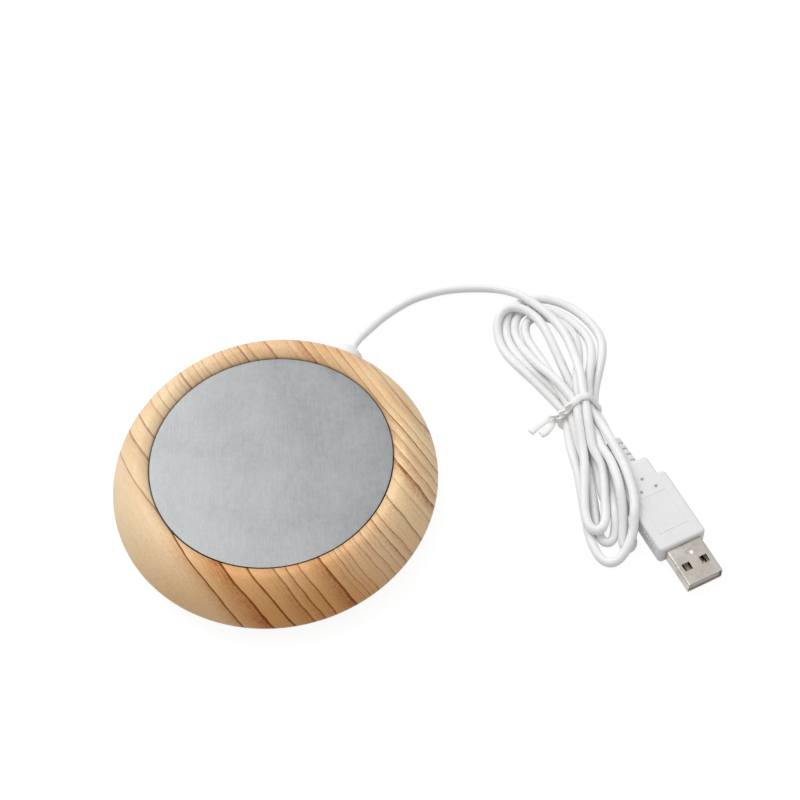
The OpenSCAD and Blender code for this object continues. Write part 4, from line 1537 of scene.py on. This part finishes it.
    def relief(self) -> Piece:
        """Moulds the bend relief: a tapered sleeve with four cuts on each side.

        Returns:
            The finished piece.
        """
        back = -self.length - self.neck_length
        tip = back - self.relief_length
        section = [(tip, self.cord_radius), (tip, self.tip_radius - 0.2),
                   (tip + 0.2, self.tip_radius), (back - 0.1, self.relief_radius),
                   (back + 0.3, self.relief_radius), (back + 0.3, self.cord_radius),
                   (tip, self.cord_radius)]
        piece = turned("plug_bend_relief", [(x, 0.0, z) for x, z in section], (1, 0, 0), 48)
        cuts = [self.block("cut", (x - self.slit_half, low, -4.0), (x + self.slit_half, high, 4.0))
                for x in (back - self.slit_start - i * self.slit_pitch
                          for i in range(self.slit_count))
                for low, high in ((-4.0, -0.5), (0.5, 4.0))]
        saw = join(cuts, "saw")
        cut_away(saw, rod("core", 1.75, 40, (back, 0, 0), rotation=(0, math.pi / 2, 0)))
        cut_away(piece, saw)
        for vert in piece.data.vertices:
            vert.co.z += self.place.centre_z * MM
        return self.complete(piece, 0.08, 35)

    def shell(self) -> Piece:
        """Folds the shell: a thin flat tube with two windows in both faces and a dimple.

        Returns:
            The finished piece.
        """
        mid, half_h, half_w = self.place.centre_z, self.shell_height / 2, self.shell_width / 2
        piece = self.block("steel_shell", (-self.shell_root + 0.1, -half_w, mid - half_h),
                           (self.shell_length, half_w, mid + half_h))
        w, at_x, at_y = self.window / 2, self.window_x, self.window_y
        with editing(piece):
            pick(piece, Kind.FACE, lambda f: abs(f.normal.x) > 0.9)
            bpy.ops.mesh.delete(type="FACE")
            pick(piece, Kind.EDGE, lambda e: abs((e.verts[0].co - e.verts[1].co).x) > 5 * MM)
            bpy.ops.mesh.bevel(offset=self.fold * MM, segments=4, affect="EDGES")
            self.cross_cuts(0, at_x - w, at_x + w)
            self.cross_cuts(1, -at_y - w, -at_y + w, at_y - w, at_y + w)
            pick(piece, Kind.FACE, lambda f: abs(f.normal.z) > 0.99
                 and abs(middle(f).x - at_x) < w and abs(abs(middle(f).y) - at_y) < w)
            bpy.ops.mesh.delete(type="FACE")
            pick_all()
            bpy.ops.mesh.normals_make_consistent(inside=False)
        finish_with(piece, "SOLIDIFY", thickness=self.wall * MM, offset=-1.0, use_even_offset=True)
        radius, along, over = self.ball
        cut_away(piece, start(bpy.ops.mesh.primitive_uv_sphere_add, "ball", segments=40,
                              ring_count=64, radius=radius * MM,
                              location=(along * MM, 0.0, (mid + half_h + over) * MM)))
        return self.complete(piece, 0.07, 35, weighted=True, limit=55)

    def tongue(self) -> Piece:
        """Moulds the insulator along the floor of the shell, with four slots.

        Returns:
            The finished piece.
        """
        half, low = self.shell_width / 2 - self.wall - 0.1, self.floor
        top = low + self.tongue_thick
        piece = self.block("insulator", (-self.shell_root, -half, low),
                           (self.shell_length - 0.6, half, top))
        back, front = self.contact_back - self.slack, self.contact_front + self.slack
        half = self.contact_half + self.slack
        slots = [self.block("slot", (back, y - half, top - self.contact_thick),
                            (front, y + half, top + 1.1)) for y in self.contact_y]
        cut_away(piece, join(slots, "slots"))
        return self.complete(piece, 0.12, 40)

    def contacts(self) -> Piece:
        """Makes the four contact strips, a hair proud of the tongue.

        Returns:
            The finished piece.
        """
        top, half = self.floor + self.tongue_thick + 0.01, self.contact_half
        strips = [self.block("strip", (self.contact_back, y - half, top - self.contact_thick),
                             (self.contact_front, y + half, top)) for y in self.contact_y]
        return self.complete(join(strips, "contact_strips"), 0.05, 40)

    def build(self, finishes: dict[str, bpy.types.Material]) -> list[Piece]:
        """Builds and dresses the plug's pieces.

        Args:
            finishes: Every finish by its name.

        Returns:
            Its pieces.
        """
        made = []
        for piece, finish, slot, node in (
                (self.relief(), "plug", "grip_plastic", "plug_relief"),
                (self.grip(), "plug", "grip_plastic", "plug_body"),
                (self.shell(), "shell", "shell_steel", "plug_shell"),
                (self.tongue(), "tongue", "tongue_plastic", "plug_tongue"),
                (self.contacts(), "gold", "contact_gold", "plug_contacts")):
            show(piece, finishes[finish], slot, node)
            made.append(piece)
        return made


# ---------------------------------------------------------------- the tie


@dataclass
class Tie:
    """Plastic ribbon tie with a wire in its middle: a band, a twist and two cut tails."""

    lead: Lead
    band_size: tuple[float, float] = (1.15, 0.6)
    end_size: tuple[float, float] = (1.15, 0.46)
    # Strands at the corners of the waist, as places across it and heights
    corners: tuple[tuple[float, float], ...] = ((4.65, 2.3), (1.55, 7.7), (-1.55, 7.7),
                                                (-4.65, 2.3))
    # How far along the hank the band's upper half lies, by its place across
    band_across: tuple[float, ...] = (-6.6, -5.2, -3.6, -2.0, 0.1, 5.4, 6.6)
    band_along: tuple[float, ...] = (-1.4, -1.4, -1.2, -0.5, 0.9, 1.4, 0.9)
    # Middle line of the twist in the hank's frame, from the band to the fork
    twist: tuple[Point, ...] = ((-0.9, -3.5, 8.7), (-1.1, -4.3, 7.5), (-1.3, -5.1, 6.2),
                                (-1.4, -6.0, 5.0), (-1.5, -7.0, 4.0), (-1.6, -8.2, 3.1))
    tails: tuple[tuple[Point, ...], ...] = (
        ((-1.4, -9.6, 2.6), (-1.7, -11.4, 2.2), (-2.6, -13.2, 1.9), (-3.7, -15.0, 1.6),
         (-4.9, -16.8, 1.4)),
        ((-2.5, -9.1, 2.4), (-3.6, -9.8, 2.0), (-4.7, -10.9, 1.6), (-5.5, -12.2, 1.3),
         (-6.1, -13.6, 1.2)))
    hook: tuple[Point, ...] = ((-1.3, -6.6, 4.4), (-1.9, -7.1, 3.0), (-2.7, -6.8, 1.9),
                               (-3.6, -6.1, 1.2), (-4.2, -5.0, 0.9), (-3.6, -4.0, 0.9))
    # The same of its lower half, in the middle and more for each millimetre across
    band_below: tuple[float, float] = (-0.8, 0.08)
    # Height where the band starts to go from one to the other, and how much higher it is there
    band_lean: tuple[float, float] = (1.0, 6.0)
    # Radius of the winding, and where one end starts in it and how far it turns, in degrees
    coil: float = 0.55
    coil_start: float = 60.0
    coil_turn: float = 400.0
    # Where it lies on the table: the height under which it is flattened, and how much is left
    flat_under: float = 1.25
    flat_share: float = 0.66

    def section(self, size: tuple[float, float]) -> Piece:
        """Draws the ribbon's section: rounded edges and a ridge over the wire.

        Args:
            size: Half its width and half its thickness.

        Returns:
            The closed curve.
        """
        half, thick = size
        upper = [(half, 0.0), (half * 0.96, thick * 0.4), (half * 0.8, thick * 0.7),
                 (half * 0.55, thick * 0.8), (half * 0.32, thick * 0.94), (0.0, thick)]
        upper += [(-x, y) for x, y in reversed(upper[:-1])]
        points = upper + [(-x, -y) for x, y in upper[1:-1]]
        return polyline("ribbon section", [(x, y, 0.0) for x, y in points], flat=True, closed=True)

    def strip(self, name: str, points: Sequence[Point], tilts: Sequence[float],
              size: tuple[float, float], closed: bool = False) -> Piece:
        """Sweeps the ribbon along points and makes it a mesh.

        Args:
            name: Name of the piece.
            points: Its middle line in millimetres.
            tilts: Its roll at each point, in degrees.
            size: Half its width and half its thickness.
            closed: Whether it is a ring.

        Returns:
            The mesh.
        """
        piece, shape = polyline(name, points, closed=closed), self.section(size)
        for at, tilt in zip(piece.data.splines[0].points, tilts):
            at.tilt = math.radians(tilt)
        piece.data.twist_mode = "MINIMUM" if closed else "Z_UP"
        piece.data.bevel_mode = "OBJECT"
        piece.data.bevel_object = shape
        piece.data.use_fill_caps = not closed
        make_active(piece)
        bpy.ops.object.convert(target="MESH")
        bpy.data.objects.remove(shape)
        return bpy.context.active_object

    def band(self) -> Piece:
        """Lays the band round the waist: flat below, and aslant over the top.

        Returns:
            The finished piece.
        """
        thick = self.band_size[1]
        reach = self.lead.diameter / 2 + thick * 0.8
        ring: list[tuple[float, float]] = []
        for k in range(72):
            angle = math.radians(2.5 + k * 5)
            way = (math.cos(angle), math.sin(angle))
            corner = max(self.corners, key=lambda c: c[0] * way[0] + c[1] * way[1])
            place = (corner[0] + reach * way[0], corner[1] + reach * way[1])
            if ring and math.dist(place, ring[-1]) > 3:
                ring += [tuple(p) for p in np.linspace(ring[-1], place, 12)[1:-1]]
            ring.append(place)
        points = []
        for across, up in ring:
            top = float(np.interp(across, self.band_across, self.band_along))
            low = self.band_below[0] + self.band_below[1] * across
            share = min(max((up - self.band_lean[0]) / self.band_lean[1], 0.0), 1.0)
            points.append(self.lead.world(low + (top - low) * share, across,
                                          max(up, thick + 0.04)))
        return self.strip("tie_band", points, [90.0] * len(points), self.band_size, closed=True)

    def winding(self, number: int) -> Piece:
        """Winds one end round the other and lays its tail down.

        Args:
            number: Which of the two ends, 0 or 1.

        Returns:
            The finished piece.
        """
        line = Lead.curve_through(np.array(self.twist, float), 6)
        points, tilts = [], []
        for k, (along, across, up) in enumerate(line):
            share = k / (len(line) - 1)
            turn = self.coil_turn * share + 180 * number + self.coil_start
            angle = math.radians(turn)
            points.append(self.lead.world(along + self.coil * math.cos(angle), across,
                                          up + self.coil * math.sin(angle)))
            tilts.append(turn)
        level = round(turn / 180) * 180
        for k, place in enumerate(Lead.curve_through(np.array(self.tails[number], float), 3)):
            points.append(self.lead.world(*place))
            tilts.append(turn + (level - turn) * min(1.0, (k + 1) / 3))
        return self.strip(f"tie_end_{number}", points, tilts, self.end_size)

    def build(self, finish: bpy.types.Material) -> None:
        """Builds the tie and flattens it where it lies on the table.

        Args:
            finish: The material of the ribbon.
        """
        hook = Lead.curve_through(np.array([self.lead.world(*p) for p in self.hook], float), 4)
        piece = join([self.band(), self.winding(0), self.winding(1),
                      self.strip("tie_hook", hook, [30.0] * len(hook), self.end_size)],
                     "ribbon_tie")
        for vert in piece.data.vertices:
            if vert.co.z < self.flat_under * MM:
                vert.co.z = max(vert.co.z * self.flat_share, 0.02 * MM)
        smooth(piece, 60)
        show(piece, finish, "tie_ribbon", "twist_tie")


# ---------------------------------------------------------------- studio


@dataclass
class Studio:
    """Floor, soft lamps and camera."""

    eye: Point = (174.08, -219.70, 458.36)
    look: Point = (-0.27735, 0.48333, -0.83034)
    roll: float = -5.55
    focus_pixels: float = 1672.8
    frame_pixels: float = 800.0
    aim: Point = (0.04, 0.02, 0.0)

    def camera(self) -> None:
        """Adds the camera and makes it the scene's own."""
        data = bpy.data.cameras.new("camera")
        data.sensor_width = 36.0
        data.lens = self.focus_pixels / self.frame_pixels * data.sensor_width
        data.clip_start, data.clip_end = 0.01, 20.0
        camera = place_new("camera", data)
        camera.location = Vector(self.eye) * MM
        camera.rotation_mode = "QUATERNION"
        camera.rotation_quaternion = (Vector(self.look).to_track_quat("-Z", "Y")
                                      @ Quaternion((0.0, 0.0, 1.0), math.radians(self.roll)))
        bpy.context.scene.camera = camera

    def lamp(self, name: str, place: Point, size: float, power: float) -> None:
        """Adds a square soft lamp that points at the object.

        Args:
            name: Its name.
            place: Where it hangs, in metres.
            size: Side of the square, in metres.
            power: Its power in watts.
        """
        data = bpy.data.lights.new(name, "AREA")
        data.size, data.energy = size, power
        lamp = place_new(name, data)
        lamp.location = place
        way = Vector(self.aim) - Vector(place)
        lamp.rotation_euler = way.to_track_quat("-Z", "Y").to_euler()

    def sky(self) -> None:
        """Sets a plain sky, brightest above the object's rear, and white to the camera."""
        world = bpy.data.worlds.new("studio")
        bpy.context.scene.world = world
        world.use_nodes = True
        wires = Wires(world.node_tree)
        ground = world.node_tree.nodes["Background"]
        x, y, z = wires.add("SeparateXYZ", {0: wires.add("TexCoord").outputs["Generated"]}).outputs
        slant = wires.math("MULTIPLY_ADD", x, -0.1, wires.math("MULTIPLY_ADD", y, 0.25, z))
        level = wires.between(slant, -0.35, 0.9, 0.24, 0.86, soft=True)
        seen = wires.add("LightPath").outputs["Is Camera Ray"]
        wires.feed(ground.inputs["Strength"], wires.add(
            "Mix", {0: seen, 2: level, 3: 1.0}, data_type="FLOAT").outputs[0])
        ground.inputs["Color"].default_value = (1.0, 1.0, 1.0, 1.0)

    def floor(self) -> None:
        """Lays a white floor that keeps a pale shadow."""
        plane = start(bpy.ops.mesh.primitive_plane_add, "floor", size=6.0)
        material, wires = new_material("white floor")
        nodes = material.node_tree.nodes
        nodes.remove(nodes["Principled BSDF"])
        rays = wires.add("LightPath").outputs
        clear = wires.math("MAXIMUM", rays["Is Camera Ray"], rays["Is Glossy Ray"])
        clear = wires.math("MAXIMUM", clear, rays["Is Transmission Ray"])
        bounce = wires.add("BsdfDiffuse", {"Color": (0.55, 0.55, 0.55, 1.0)})
        shade = wires.add("BsdfDiffuse", {"Color": (0.15, 0.15, 0.15, 1.0)})
        glow = wires.add("Emission", {"Color": (1.0, 1.0, 1.0, 1.0), "Strength": 0.9})
        seen = wires.add("AddShader", {0: shade.outputs[0], 1: glow.outputs[0]})
        both = wires.add("MixShader", {0: clear, 1: bounce.outputs[0], 2: seen.outputs[0]})
        wires.feed(nodes["Material Output"].inputs["Surface"], both.outputs[0])
        plane.data.materials.append(material)

    def build(self) -> None:
        """Builds the whole studio."""
        bpy.context.scene.view_settings.view_transform = "Standard"
        self.camera()
        self.sky()
        self.floor()
        self.lamp("top", (-0.52, 0.26, 0.88), 0.6, 4.0)
        self.lamp("left", (-0.85, 0.30, 0.5), 0.6, 1.6)


def all_finishes() -> dict[str, bpy.types.Material]:
    """Builds every finish once and returns them by name."""
    return {key: finish.material() for key, finish in {
        "pine": TurnedPine(),
        "plate": BrushedSteel(),
        "boss": Moulded("white boss", "EEEEEE", "E6E6E6"),
        "jacket": Moulded("white jacket", "EEEEEE", "E6E6E6"),
        "plug": Moulded("white grip", "E4E4E4", "DDDDDD", (0.42, 0.52), 0.01),
        "tie": Moulded("tie ribbon", "F1F1F0", "E9E9E7", (0.45, 0.55)),
        "tongue": Moulded("insulator", "D8D4CC", "CFCAC0"),
        "shell": Metal("plated shell", "D2CDC5", "AEA89E", (0.3, 0.42), 39.0),
        "gold": Metal("gilt contacts", "B99E64", "A0864F"),
        # Dark seal colour: a real part, but its darkness also stands in for the shade in the gap
        # round the plate, so partly painted shade
        "seal": Moulded("heat-proof seal", "3A3835", "2C2A28", (0.6, 0.75)),
        "film": Moulded("amber film", "B9782C", "A4671F", (0.2, 0.3), 0.004),
        "foil": Metal("etched foil", "B58C5F", "9C7549", (0.3, 0.45)),
        "felt": Felt(),
        "case": Metal("cut-out case", "B9BBBD", "A2A4A6"),
        "red wire": Moulded("red silicone", "A82A22", "96231C"),
        "black wire": Moulded("black silicone", "1E1E20", "28282A"),
        "pale wire": Moulded("pale silicone", "D8CDA8", "CCC099"),
        "sleeve": Moulded("shrunk sleeve", "26282A", "1C1E20", (0.3, 0.4)),
        "nylon": Moulded("nylon bar", "D6D4CE", "CAC8C1"),
        "screws": Metal("zinc screw", "A9ABAD", "8B8D90"),
        "base": Moulded("pale base", "D9B98A", "CDAB7A", (0.5, 0.62), 0.02),
        "rubber": Moulded("foot rubber", "3B3C3E", "2E2F31", (0.7, 0.82), 0.02),
    }.items()}


def main() -> None:
    """Builds every sub-assembly in order and reports its pieces."""
    logging.basicConfig(level=logging.INFO, format="%(message)s")
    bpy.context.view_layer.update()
    Studio().build()
    finishes = all_finishes()
    place = PlugPlace()
    lead = Lead(place)
    plug = Plug(place).build(finishes)
    Warmer().build(finishes)
    goes_with = [*plug, "lead_boss", "cord_inner"]
    lead.build(finishes["jacket"], goes_with)
    Tie(lead).build(finishes["tie"])


if __name__ == "__main__":
    main()
